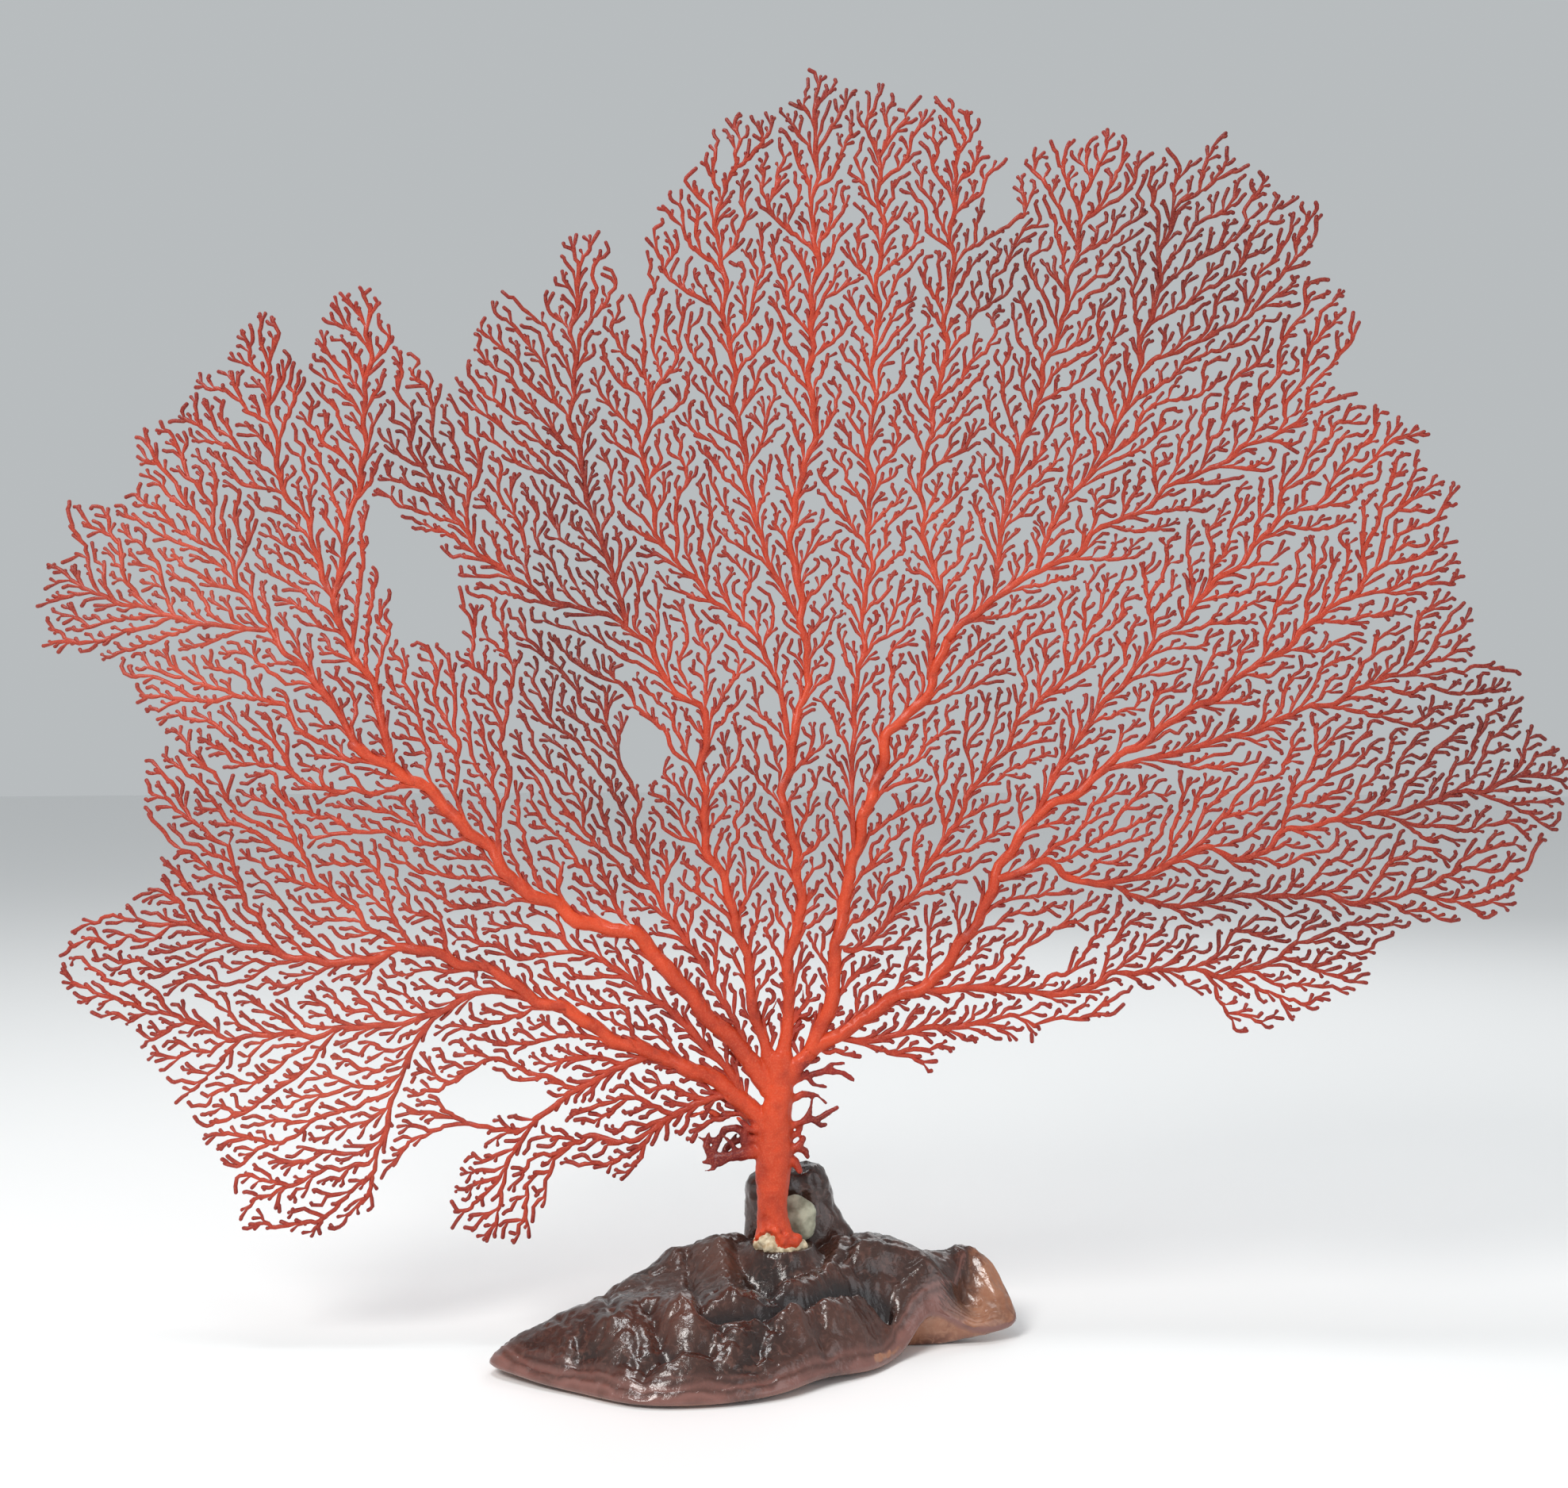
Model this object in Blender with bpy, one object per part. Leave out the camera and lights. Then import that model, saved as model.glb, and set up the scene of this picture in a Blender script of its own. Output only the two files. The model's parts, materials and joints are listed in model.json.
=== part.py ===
"""A red sea fan: a gorgonian coral that stands on a trunk in a lacquered, lumpy bracket of wood.

Lengths are millimetres in the tables below and metres in the meshes. +X is to the right of the fan's
front, +Y goes back, +Z is up, and the origin is on the table under the trunk.
"""
import math
import random

import bmesh
import bpy
import numpy as np
from mathutils import Vector

MM = 0.001
SEED = 7

# Fan: driving dimensions in mm
TWIG_SPACING = 6.5
TWIG_DIAMETER = 1.7
SHORTEST_TWIG = 5.0
BEND_TOLERANCE = 1.1
JOINT_GAP = 0.3
FAN_ROOT = (-2, 60)
FOOT_HEIGHT = 28.0
LIMB_TAPER = 0.75
LIMB_TOLERANCE = 0.5
STUB_DIAMETER = 2.2
STUB_TAPER = 0.25
TRUNK_LUMP = 0.04
STALK_LUMP = 0.05
LUMPS_ROUND = 3
LUMP_TWIST = 1.7
ROOT_OVERLAP = 1.0
CUTTER_REACH = 12.0
CUTTER_SIDES = 8
CORNER_SHARE = 1.45
CUTTER_EXTRA = 2.5
SIDE_CLEARANCE = 1.6
FORK_CLEARANCE = 1.5
SHARP_ANGLE = 50
CURVE_STEPS = 8

# How the twigs grow, as shares of the twig spacing
STEP_SHARE = 0.42
CROWDING_SHARE = 0.66
REACH_SHARE = 2.2
FOOD_SHARE = 0.5
LIMB_LEAD = 2.0
BARE_ROOT = 9.0
BARE_START = 4.0
SIBLING_SHARE = 0.55
NEIGHBOUR_SHARE = 0.75
OUTWARD_PULL = 0.7
STRAIGHTNESS = 0.6
WANDER = 0.2
LIMB_SPROUTS = 3
TWIG_SPROUTS = 2

# Trunk: height, centre x, width and depth at each level, in mm
TRUNK_LEVELS = [
    (28.3, -2.4, 9.6, 9.0), (30.0, -2.3, 9.4, 8.8), (33.0, -2.1, 8.0, 7.8), (38.0, -2.0, 7.3, 7.3),
    (44.0, -2.0, 7.8, 7.6), (50.0, -1.8, 9.0, 8.4), (57.0, -2.0, 10.0, 9.2), (64.0, -2.1, 10.6, 9.4),
    (71.0, -1.7, 11.4, 9.0), (77.0, -1.0, 12.6, 8.2), (81.5, -0.6, 11.6, 7.0), (84.5, -0.4, 7.6, 4.6)]
TRUNK_SIDES = 12
# Stubby growths on the trunk: points from the trunk's middle to each tip
TRUNK_STUBS = [
    [(-4.5, 50), (-10, 53), (-14, 56)], [(-4.5, 54), (-11, 57.5), (-17, 57.5)],
    [(-4.5, 46), (-8, 48.5), (-13, 49)],
    [(0.5, 53), (5, 57), (8, 56)], [(0.5, 59), (8, 64), (15, 66.5)], [(0.5, 65), (9, 71), (16, 72.5)]]

# Limbs: name, piece, the line it leaves (None is the trunk), diameter at both ends, points from root to tip
LIMBS = [
    ("lower_left", "limb_lower_left", None, 6.4, 1.9, [
        (-3, 60), (-9, 67), (-14, 71), (-20, 75.5), (-28, 78.5), (-36, 81.5), (-44, 85), (-50, 88), (-60, 94),
        (-70, 99), (-80, 105), (-90, 108.5), (-100, 111), (-108, 111), (-116, 108), (-125, 107.5),
        (-133, 110), (-143, 111.5), (-150, 113), (-157, 117), (-175, 118)]),
    ("lower_left_fork", "limb_lower_left", "lower_left", 2.6, 1.7, [
        (-60, 94), (-80, 100), (-88, 97), (-95, 93), (-102, 92), (-112, 90), (-122, 89), (-132, 88),
        (-142, 87.5), (-152, 88), (-165, 92)]),
    ("drooping", "limb_lower_left", "lower_left_fork", 2.2, 1.7, [
        (-95, 93), (-101, 85), (-104, 77), (-107, 70), (-109, 62), (-112, 50)]),
    ("low_band", "limb_low_band", "lower_left", 3.2, 1.8, [
        (-36, 81.5), (-45, 78), (-52, 74), (-60, 70), (-67, 64), (-74, 55), (-80, 46)]),
    ("upper_left", "limb_upper_left", None, 5.8, 3.4, [
        (-3, 72), (-9, 80), (-14, 86.5), (-20, 92), (-26, 98.5), (-31, 105), (-36, 111), (-41, 114.5),
        (-48, 117), (-55, 119), (-62, 122.5), (-70, 127.5), (-78, 135.5), (-84, 142), (-90, 148.5),
        (-96, 153.5), (-102, 158), (-107, 162), (-112, 164), (-119, 166.5)]),
    ("left_crown", "limb_left_crown", "upper_left", 3.2, 1.8, [
        (-107, 162), (-108, 168), (-110, 175), (-112, 183), (-116, 189), (-119, 195), (-121, 200),
        (-124, 206), (-126, 212), (-127.5, 218), (-130, 225), (-134, 233), (-138, 240), (-140, 255),
        (-141, 270)]),
    ("crown_fork", "limb_left_crown", "left_crown", 2.4, 1.7, [
        (-124, 206), (-121, 220), (-120, 228), (-118, 234), (-116, 240), (-115, 250), (-114, 262),
        (-113, 275), (-112, 288)]),
    ("far_left", "limb_far_left", "upper_left", 2.8, 1.7, [
        (-116, 166), (-121, 175), (-127, 183), (-131, 189), (-137, 193), (-142, 199), (-146, 207),
        (-151, 212), (-154, 220), (-158, 228)]),
    ("far_left_reach", "limb_far_left", "far_left", 2.0, 1.5, [
        (-142, 199), (-160, 201), (-180, 206), (-201, 213)]),
    ("mid_left", "limb_mid_left", None, 3.8, 2.0, [
        (-2.5, 77), (-5, 86), (-7.5, 93), (-8.5, 100), (-9.5, 108), (-12, 117), (-15, 126), (-18, 134),
        (-21, 142), (-21.5, 152), (-21.5, 163), (-21, 174), (-25, 180), (-31, 184), (-34, 188), (-37, 195),
        (-43, 201), (-52, 204), (-62, 207), (-74, 213), (-86, 224), (-96, 238)]),
    ("mid_left_up", "limb_mid_left", "mid_left", 2.0, 1.7, [
        (-43, 201), (-47, 215), (-52, 230), (-56, 246), (-58, 262), (-57, 280), (-56, 300)]),
    ("centre", "limb_centre", None, 4.2, 1.9, [
        (-0.5, 77), (1.5, 87), (2, 95), (2, 105), (4, 115), (5.5, 125), (5, 133), (3, 141), (1, 149),
        (1.5, 157), (2.5, 165), (4, 173), (6.5, 178), (7, 190), (7, 198), (5.5, 205), (4.5, 213), (3.5, 222),
        (3, 232), (5, 240), (8, 248), (9, 262), (8, 276), (9, 290), (9.5, 305), (9, 320), (10, 335),
        (9.5, 348)]),
    ("centre_left", "limb_centre", "centre", 2.3, 1.7, [
        (2.5, 165), (0, 181), (-3, 190), (-6, 196), (-9, 200), (-13, 203), (-18, 208), (-24, 213),
        (-30, 219), (-36, 232), (-38, 250), (-36, 268)]),
    ("centre_up", "limb_centre", "centre", 2.0, 1.7, [
        (7, 198), (0, 212), (-6, 226), (-10, 245), (-13, 265), (-15, 285), (-17, 305), (-18, 322)]),
    ("right", "limb_right", None, 4.9, 1.9, [
        (-1, 71), (4, 78), (9, 83), (15, 86.5), (20, 90), (26, 93.5), (32, 97), (38, 100), (43, 103),
        (47, 107), (50, 111), (53, 117), (57, 123.5), (60, 130), (62, 136), (65, 141), (70, 146), (75, 150),
        (80, 153.5), (86, 157), (90, 160.5), (98, 167), (106, 172), (120, 181), (136, 192), (152, 205),
        (168, 218)]),
    ("right_up", "limb_right", "right", 2.1, 1.7, [
        (70, 146), (78, 162), (88, 176), (100, 190), (113, 204), (127, 218), (141, 232)]),
    ("right_low", "limb_right", "right", 2.0, 1.7, [
        (90, 160.5), (100, 163), (112, 166), (126, 170), (142, 176), (158, 182), (176, 189)]),
    ("right_centre", "limb_right_centre", "right", 4.6, 3.0, [
        (8, 82), (11, 89), (13.5, 95), (14.5, 100), (15, 106), (15.5, 112), (16, 117), (18, 124),
        (19.5, 131), (20.5, 138), (21.5, 143), (24, 149), (26, 154), (27.5, 160), (28, 165), (30, 170),
        (34, 174), (38, 178), (42, 185), (45, 191), (47, 197)]),
    ("right_centre_left", "limb_right_centre", "right_centre", 2.0, 1.7, [
        (20.5, 138), (19.5, 150), (20, 160), (20, 170), (21, 180), (23, 200), (25, 222), (25, 245),
        (26, 268), (27, 290), (28, 312), (27, 334)]),
    ("right_centre_side", "limb_right_centre", "right_centre", 2.2, 1.7, [
        (15.5, 112), (20, 110.5), (26, 114), (30, 119), (37, 127), (45, 140), (52, 152), (60, 164),
        (70, 177), (82, 190)]),
    ("top_right", "limb_top_right", "right_centre", 2.4, 1.8, [
        (41.5, 185), (42.5, 194), (43.5, 201), (44.5, 208), (44, 214), (42.5, 220), (40, 227), (40, 235),
        (40, 243), (41, 252), (45, 270), (47, 290), (48, 310), (48, 330)]),
    ("upper_right", "limb_upper_right", "right_centre", 2.8, 1.8, [
        (47, 197), (50, 201), (55, 204), (60, 209), (66, 212.5), (72, 216), (78, 219), (84, 222), (90, 228),
        (100, 233), (112, 241), (130, 250), (145, 258)]),
    ("upper_right_fork", "limb_upper_right", "upper_right", 2.1, 1.7, [
        (72, 216), (76, 229), (80, 235), (88, 245), (95, 258), (100, 275), (105, 300), (108, 316)]),
    ("upper_right_inner", "limb_upper_right", "upper_right", 1.9, 1.7, [
        (60, 209), (62, 226), (66, 245), (72, 265), (78, 285), (82, 305), (83, 320)]),
    ("right_reach", "limb_right_reach", "right", 2.8, 1.8, [
        (60, 130), (66, 132), (72, 135), (76, 134), (79, 131), (85, 129.5), (92, 129), (98, 130), (104, 133),
        (111, 137), (118, 138), (126, 136.5), (132, 138), (137, 142), (142, 144), (150, 147), (160, 147),
        (170, 150), (190, 155), (205, 160)]),
    ("right_reach_low", "limb_right_reach", "right_reach", 2.0, 1.7, [
        (92, 129), (99, 125), (108, 123), (118, 124), (130, 126), (144, 126), (158, 125), (176, 127)]),
    ("lower_right", "limb_lower_right", "right", 2.8, 1.7, [
        (38, 100), (44, 99), (50, 100), (58, 100), (66, 99), (73, 98.5), (80, 99), (88, 101), (94, 104.5),
        (104, 105.5), (110, 105), (118, 104.5), (125, 105), (138, 108)]),
    ("right_fringe", "limb_right_fringe", "right", 2.4, 1.6, [
        (15, 86.5), (22, 85), (28, 86), (34, 87.5), (42, 88.5), (50, 89.5), (57, 90.5), (63, 91.5),
        (72, 90)]),
]

# Edge of the fan, through the ends of its twigs, from the trunk's left side over the top to its right side
OUTLINE = [
    (-8, 53), (-20, 52), (-30, 58), (-38, 52), (-45, 44), (-49, 52), (-60, 50), (-60, 38), (-72, 29),
    (-83, 30), (-90, 34), (-89, 50), (-82, 58), (-80, 70), (-88, 68), (-94, 56), (-104, 48), (-111, 41),
    (-119, 36), (-127, 31), (-136, 33), (-138, 44), (-143, 33), (-149, 34), (-151, 52), (-158, 56),
    (-164, 72), (-174, 79), (-176, 89), (-190, 93), (-199, 102), (-195, 114), (-188, 120), (-175, 125),
    (-162, 124), (-170, 131), (-165, 142), (-175, 151), (-175, 163), (-166, 168), (-177, 176), (-180, 186),
    (-192, 192), (-205, 190), (-207, 202), (-207, 218), (-192, 222), (-200, 235), (-188, 234), (-178, 238),
    (-181, 254), (-166, 259), (-161, 270), (-150, 270), (-149, 283), (-138, 286), (-134, 272), (-128, 273),
    (-123, 289), (-111, 292), (-106, 279), (-96, 268), (-88, 264), (-84, 280), (-78, 289), (-66, 284),
    (-62, 296), (-58, 308), (-49, 308), (-43, 290), (-41, 276), (-36, 285), (-38, 306), (-30, 319),
    (-22, 327), (-18, 338), (-8, 342), (4, 346), (9, 358), (16, 350), (30, 352), (35, 340), (42, 348),
    (53, 344), (58, 330), (57, 314), (60, 309), (68, 309), (64, 324), (70, 333), (78, 333), (84, 334),
    (90, 338), (97, 331), (104, 330), (111, 322), (116, 330), (121, 336), (124, 326), (134, 318),
    (147, 312), (143, 296), (153, 290), (157, 279), (150, 267), (160, 260), (176, 255), (177, 243),
    (188, 238), (183, 226), (188, 213), (191, 200), (189, 189), (198, 189), (203, 180), (205, 171),
    (217, 163), (213, 150), (208, 140), (201, 132), (199, 122), (184, 119), (172, 119), (162, 113),
    (159, 101), (149, 96), (138, 92), (128, 87), (112, 92), (104, 103), (96, 96), (86, 90), (76, 92),
    (68, 83), (57, 86), (50, 82), (40, 76), (31, 73), (24, 79), (12, 82), (5, 74), (4, 62)]

# Gaps in the fan
HOLES = [
    [(-113, 230), (-108, 236), (-103, 228), (-95, 222), (-90, 218), (-88, 208), (-85, 195), (-77, 188),
     (-64, 178), (-60, 172), (-70, 183), (-80, 190), (-90, 196), (-107, 195), (-108, 210), (-114, 221)],
    [(-48, 163), (-42, 169), (-31, 170), (-32, 158), (-38, 155), (-45, 160)],
    [(-160, 99), (-151, 98), (-151, 93), (-160, 93)],
    [(67, 113), (79, 115), (80, 106), (69, 103)],
    [(-91, 62), (-84, 78), (-66, 74), (-60, 66), (-60, 60), (-72, 66)],
    [(-22, 44), (-22, 61), (-12, 66), (-12, 90), (3, 90), (3, 44)],
]

# Slow waves that carry the fan's sheet forward and back, in mm for each mm from the root
WAVE_ACROSS = 0.032
WAVE_UP = 0.022
WAVE_ACROSS_RATE = 0.021
WAVE_UP_RATE = 0.028
WAVE_PHASE = 0.9
WAVE_START = 60.0

# Base: plan of the rim as it lies on the table, in mm, counter-clockwise from the left tip
BASE_RIM = [
    (-77, -21), (-66, -30.5), (-53, -38), (-36, -47), (-18, -47), (0, -41), (12, -31), (24, -22), (33, -10),
    (43, 0), (58, 4), (66, 10), (60, 20), (46, 26), (28, 30), (8, 33), (-12, 32), (-32, 26), (-48, 16),
    (-62, 2), (-72, -10)]
RIM_SIDES = 46
BASE_RINGS = (0.965, 0.88, 0.76, 0.62, 0.47, 0.34, 0.24, 0.14)
BASE_BODY_HEIGHT = 17.0
FOOT_SHARE = 0.8
RIM_THICKNESS = 2.6
RIM_EDGE_SHARE = 0.6
RIM_CURVE_STEPS = 12
DOME_STEEPNESS = 3
DOME_FULLNESS = 0.8
LUMP_FADE = 4
# Height of the rim above the table near a spot: x, y, height, reach
RIM_LIFTS = [(62, 14, 13, 20), (46, 0, 8, 14), (50, 27, 13, 18), (-77, -21, 1.5, 18), (10, -33, 1.5, 16)]
# Swellings of the base's top: x, y, height (minus is a hollow), reach along x and y, turn in degrees
BASE_LUMPS = [
    (-30, -24, 7, 20, 13, 12), (4, -20, 6, 16, 10, 35), (-52, -20, 4, 13, 9, 10), (-28, 10, 8, 20, 11, -12),
    (16, -6, 5, 11, 9, 30), (32, 8, 8, 14, 12, 20), (18, 16, 10, 16, 12, 0), (-12, 12, 7, 12, 10, 0),
    (-18, -6, -5, 16, 4, -8), (4, -5, -5, 14, 4.5, 25), (26, -4, -4, 9, 3.5, 60), (-45, 2, 4, 12, 8, 20),
    (52, 14, -4, 7, 6, 0)]
FOOT_SEAT = (0.0, 3.5, 9.0)
SEAT_EDGE = 3.5
RIM_FLOOR = 0.6

# Stalk of the base, behind the trunk: height, centre x and y, width along x and y, in mm
STALK_LEVELS = [
    (8, 4, 17.5, 26, 15), (20, 3, 17.5, 27, 15.5), (30, 2.5, 18, 26, 16), (38, 3.5, 18, 24, 15.5),
    (44, 6, 18, 19, 13.5), (48, 8, 18, 11, 9)]
STALK_SIDES = 18

# Stone that the coral grew on: centre, and width, thickness and height, in mm
STONE_CENTRE = (3.3, 7.3, 35.1)
STONE_SIZE = (13.0, 3.8, 13.6)
STONE_SIDES = 12
STONE_LEVELS = 8

CORAL = (0.66, 0.065, 0.03, 1.0)
LACQUERED_BROWN = (0.045, 0.017, 0.013, 1.0)
PALE_STONE = (0.36, 0.34, 0.25, 1.0)


def make_material(name, colour, roughness, coat=0.0):
    material = bpy.data.materials.new(name)
    material.use_nodes = True
    shader = material.node_tree.nodes["Principled BSDF"]
    shader.inputs["Base Color"].default_value = colour
    shader.inputs["Roughness"].default_value = roughness
    shader.inputs["Metallic"].default_value = 0.0
    shader.inputs["Coat Weight"].default_value = coat
    return material


def make_object(name, mesh, material):
    thing = bpy.data.objects.new(name, mesh)
    bpy.context.scene.collection.objects.link(thing)
    if material:
        mesh.materials.append(material)
    return thing


def finish_mesh(mesh):
    """Turns every face outward and shades round pieces smooth."""
    shape = bmesh.new()
    shape.from_mesh(mesh)
    bmesh.ops.recalc_face_normals(shape, faces=shape.faces)
    shape.to_mesh(mesh)
    shape.free()
    mesh.shade_smooth()
    mesh.set_sharp_from_angle(angle=math.radians(SHARP_ANGLE))


def cut_with(thing, cutter, operation="DIFFERENCE"):
    modifier = thing.modifiers.new(operation.lower() + "_" + cutter.name, "BOOLEAN")
    modifier.operation = operation
    modifier.solver = "EXACT"
    modifier.object = cutter
    cutter.hide_render = True
    cutter.display_type = "WIRE"


def unit(x, z):
    size = math.hypot(x, z) or 1.0
    return x / size, z / size


def inside(points, polygon):
    """Whether each point lies inside a closed polygon."""
    x, z = points[:, 0], points[:, 1]
    found = np.zeros(len(points), bool)
    for (ax, az), (bx, bz) in zip(polygon, polygon[1:] + polygon[:1]):
        if az == bz:
            continue
        crosses = (az > z) != (bz > z)
        found ^= crosses & (x < ax + (z - az) * (bx - ax) / (bz - az))
    return found


def curve_point(a, b, c, d, t):
    """One coordinate on the smooth curve through a, b, c and d, share t of the way from b to c."""
    square = (2 * a - 5 * b + 4 * c - d) * t ** 2
    cube = (3 * b - a - 3 * c + d) * t ** 3
    return 0.5 * (2 * b + (c - a) * t + square + cube)


def smooth_line(points, step):
    """Points every step along a smooth line through the given points."""
    fine = [points[0]]
    last = len(points) - 1
    for i in range(last):
        spans = (points[max(i - 1, 0)], points[i], points[i + 1], points[min(i + 2, last)])
        for k in range(1, CURVE_STEPS + 1):
            fine.append(tuple(curve_point(*span, k / CURVE_STEPS) for span in zip(*spans)))
    out, gone = [fine[0]], 0.0
    for a, b in zip(fine, fine[1:]):
        length = math.dist(a, b)
        while gone + length >= step:
            t = (step - gone) / length
            a = (a[0] + (b[0] - a[0]) * t, a[1] + (b[1] - a[1]) * t)
            out.append(a)
            length -= step - gone
            gone = 0.0
        gone += length
    return out


class Fan:
    """The fan's network: every point has a place on the fan's sheet, a parent, a line and a heading."""

    def __init__(self):
        self.place = []
        self.parent = []
        self.kids = []
        self.line = []
        self.heading = []
        self.mark = []

    def add(self, place, parent, line, heading, mark=-1):
        """Adds a point; mark is its number along a limb, or -1 on a twig."""
        self.place.append(place)
        self.parent.append(parent)
        self.kids.append([])
        self.line.append(line)
        self.heading.append(heading)
        self.mark.append(mark)
        if parent >= 0:
            self.kids[parent].append(len(self.place) - 1)
        return len(self.place) - 1


def cell_of(x, z, size):
    return int(x // size), int(z // size)


def scatter_food(spacing, rng):
    """Free points all over the fan's area, which the twigs grow towards."""
    pitch = spacing * FOOD_SHARE
    xs = [p[0] for p in OUTLINE]
    zs = [p[1] for p in OUTLINE]
    spots = []
    for i in range(int((max(xs) - min(xs)) / pitch) + 1):
        for j in range(int((max(zs) - min(zs)) / pitch) + 1):
            x = min(xs) + (i + rng.uniform(-0.5, 0.5)) * pitch
            z = min(zs) + (j + rng.uniform(-0.5, 0.5)) * pitch
            spots.append((x, z))
    spots = np.array(spots)
    free = inside(spots, OUTLINE)
    for hole in HOLES:
        free &= ~inside(spots, hole)
    return spots[free]


def limb_births(step):
    """Each limb's points with the age at which they appear, hosts before what leaves them."""
    lines, births = {}, []
    for order, (name, piece, host, start, end, points) in enumerate(LIMBS):
        path = smooth_line(points, step)
        anchor = -1
        age = math.dist(path[0], FAN_ROOT) / (step * LIMB_LEAD)
        if host:
            host_path, host_ages = lines[host]
            anchor = min(range(len(host_path)), key=lambda i: math.dist(host_path[i], path[0]))
            age = host_ages[anchor]
        ages = [age + i / LIMB_LEAD for i in range(len(path))]
        lines[name] = (path, ages)
        births.extend((ages[i], order, i, path[i], host, anchor) for i in range(len(path)))
    return sorted(births)


def grow_fan(spacing):
    """Limbs appear from root to tip, and twigs grow from them towards the free points nearest to them."""
    rng = random.Random(SEED)
    step, crowding, reach = spacing * STEP_SHARE, spacing * CROWDING_SHARE, spacing * REACH_SHARE
    spots = scatter_food(spacing, rng)
    alive = np.ones(len(spots), bool)
    nearest = np.full(len(spots), -1)
    gap = np.full(len(spots), reach)
    cells = {}
    for i, (x, z) in enumerate(spots):
        cells.setdefault(cell_of(x, z, reach), []).append(i)
    fan, taken = Fan(), {}

    def settle(node):
        """Uses up the free points beside a new point and lets it pull on those within reach."""
        x, z = fan.place[node]
        taken.setdefault(cell_of(x, z, crowding), []).append(node)
        cx, cz = cell_of(x, z, reach)
        ids = [i for dx in (-1, 0, 1) for dz in (-1, 0, 1) for i in cells.get((cx + dx, cz + dz), ())]
        ids = np.array(ids, int)
        ids = ids[alive[ids]]
        away = np.hypot(spots[ids, 0] - x, spots[ids, 1] - z)
        alive[ids[away < crowding]] = False
        closer = away < gap[ids]
        nearest[ids[closer]] = node
        gap[ids[closer]] = away[closer]

    def crowded(x, z, parent):
        """Whether a new point would come up against another twig."""
        family = (parent, fan.parent[parent])
        cx, cz = cell_of(x, z, crowding)
        for dx in (-1, 0, 1):
            for dz in (-1, 0, 1):
                for other in taken.get((cx + dx, cz + dz), ()):
                    if other in family:
                        continue
                    sibling = fan.parent[other] == parent
                    limit = step * SIBLING_SHARE if sibling else crowding * NEIGHBOUR_SHARE
                    if math.dist(fan.place[other], (x, z)) < limit:
                        return True
        return False

    births = limb_births(step)
    limb_points, born, age, full = {}, 0, 0, set()
    while True:
        while born < len(births) and births[born][0] <= age:
            _, order, i, spot, host, anchor = births[born]
            born += 1
            name = LIMBS[order][0]
            if i == 0 and host:
                limb_points[name, 0] = limb_points[host, anchor]
                continue
            parent = limb_points[name, i - 1] if i else -1
            before = fan.place[parent] if parent >= 0 else FAN_ROOT
            heading = unit(spot[0] - before[0], spot[1] - before[1])
            limb_points[name, i] = fan.add(spot, parent, order, heading, i)
            settle(limb_points[name, i])
        pulls = {}
        for i in np.nonzero(alive & (nearest >= 0))[0]:
            node = nearest[i]
            x, z = fan.place[node]
            ux, uz = unit(spots[i, 0] - x, spots[i, 1] - z)
            sx, sz = pulls.get(node, (0.0, 0.0))
            pulls[node] = (sx + ux, sz + uz)
        fresh = []
        for node in sorted(pulls):
            if node in full:
                continue
            x, z = fan.place[node]
            px, pz = unit(*pulls[node])
            ox, oz = unit(x - FAN_ROOT[0], z - FAN_ROOT[1])
            hx, hz = fan.heading[node]
            dx = px + OUTWARD_PULL * ox + STRAIGHTNESS * hx + rng.uniform(-WANDER, WANDER)
            dz = pz + OUTWARD_PULL * oz + STRAIGHTNESS * hz + rng.uniform(-WANDER, WANDER)
            dx, dz = unit(dx, dz)
            spot = (x + dx * step, z + dz * step)
            limit = LIMB_SPROUTS if fan.mark[node] >= 0 else TWIG_SPROUTS
            from_trunk = LIMBS[fan.line[node]][2] is None
            bare = 0 <= fan.mark[node] * step < (BARE_ROOT if from_trunk else BARE_START)
            if bare or len(fan.kids[node]) >= limit or crowded(*spot, node):
                full.add(node)
                continue
            fresh.append((node, spot, (dx, dz)))
        for node, spot, heading in fresh:
            settle(fan.add(spot, node, fan.line[node], heading))
        age += 1
        if not fresh and born >= len(births):
            return fan


def limb_radius(fan, node):
    """Half the limb's thickness at one of its points, or 0 on a twig."""
    if fan.mark[node] < 0:
        return 0.0
    name, piece, host, start, end, points = LIMBS[fan.line[node]]
    length = sum(math.dist(a, b) for a, b in zip(points, points[1:]))
    share = min(fan.mark[node] * TWIG_SPACING * STEP_SHARE / length, 1.0)
    return 0.5 * (start + (end - start) * share ** LIMB_TAPER)


def longest_reach(fan):
    """For each point, how far the longest twig beyond it runs."""
    reach = [0.0] * len(fan.place)
    for node in range(len(fan.place) - 1, 0, -1):
        parent = fan.parent[node]
        if parent >= 0:
            reach[parent] = max(reach[parent], reach[node] + math.dist(fan.place[node], fan.place[parent]))
    return reach


def drop_stubs(fan):
    """Takes twigs too short for the solids off their parents."""
    reach = longest_reach(fan)
    for node, kids in enumerate(fan.kids):
        fan.kids[node] = [
            kid for kid in kids
            if fan.mark[kid] >= 0 or reach[kid] + math.dist(fan.place[kid], fan.place[node]) >= SHORTEST_TWIG]


def straighten(places, tolerance):
    """The numbers of the points that a line keeps when bends within the tolerance go."""
    if len(places) < 3:
        return [0, len(places) - 1]
    (ax, az), (bx, bz) = places[0], places[-1]
    ux, uz = unit(bx - ax, bz - az)
    off = [abs((x - ax) * uz - (z - az) * ux) for x, z in places]
    far = max(range(len(places)), key=off.__getitem__)
    if off[far] <= tolerance:
        return [0, len(places) - 1]
    left = straighten(places[:far + 1], tolerance)
    right = straighten(places[far:], tolerance)
    return left[:-1] + [far + i for i in right]


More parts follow.
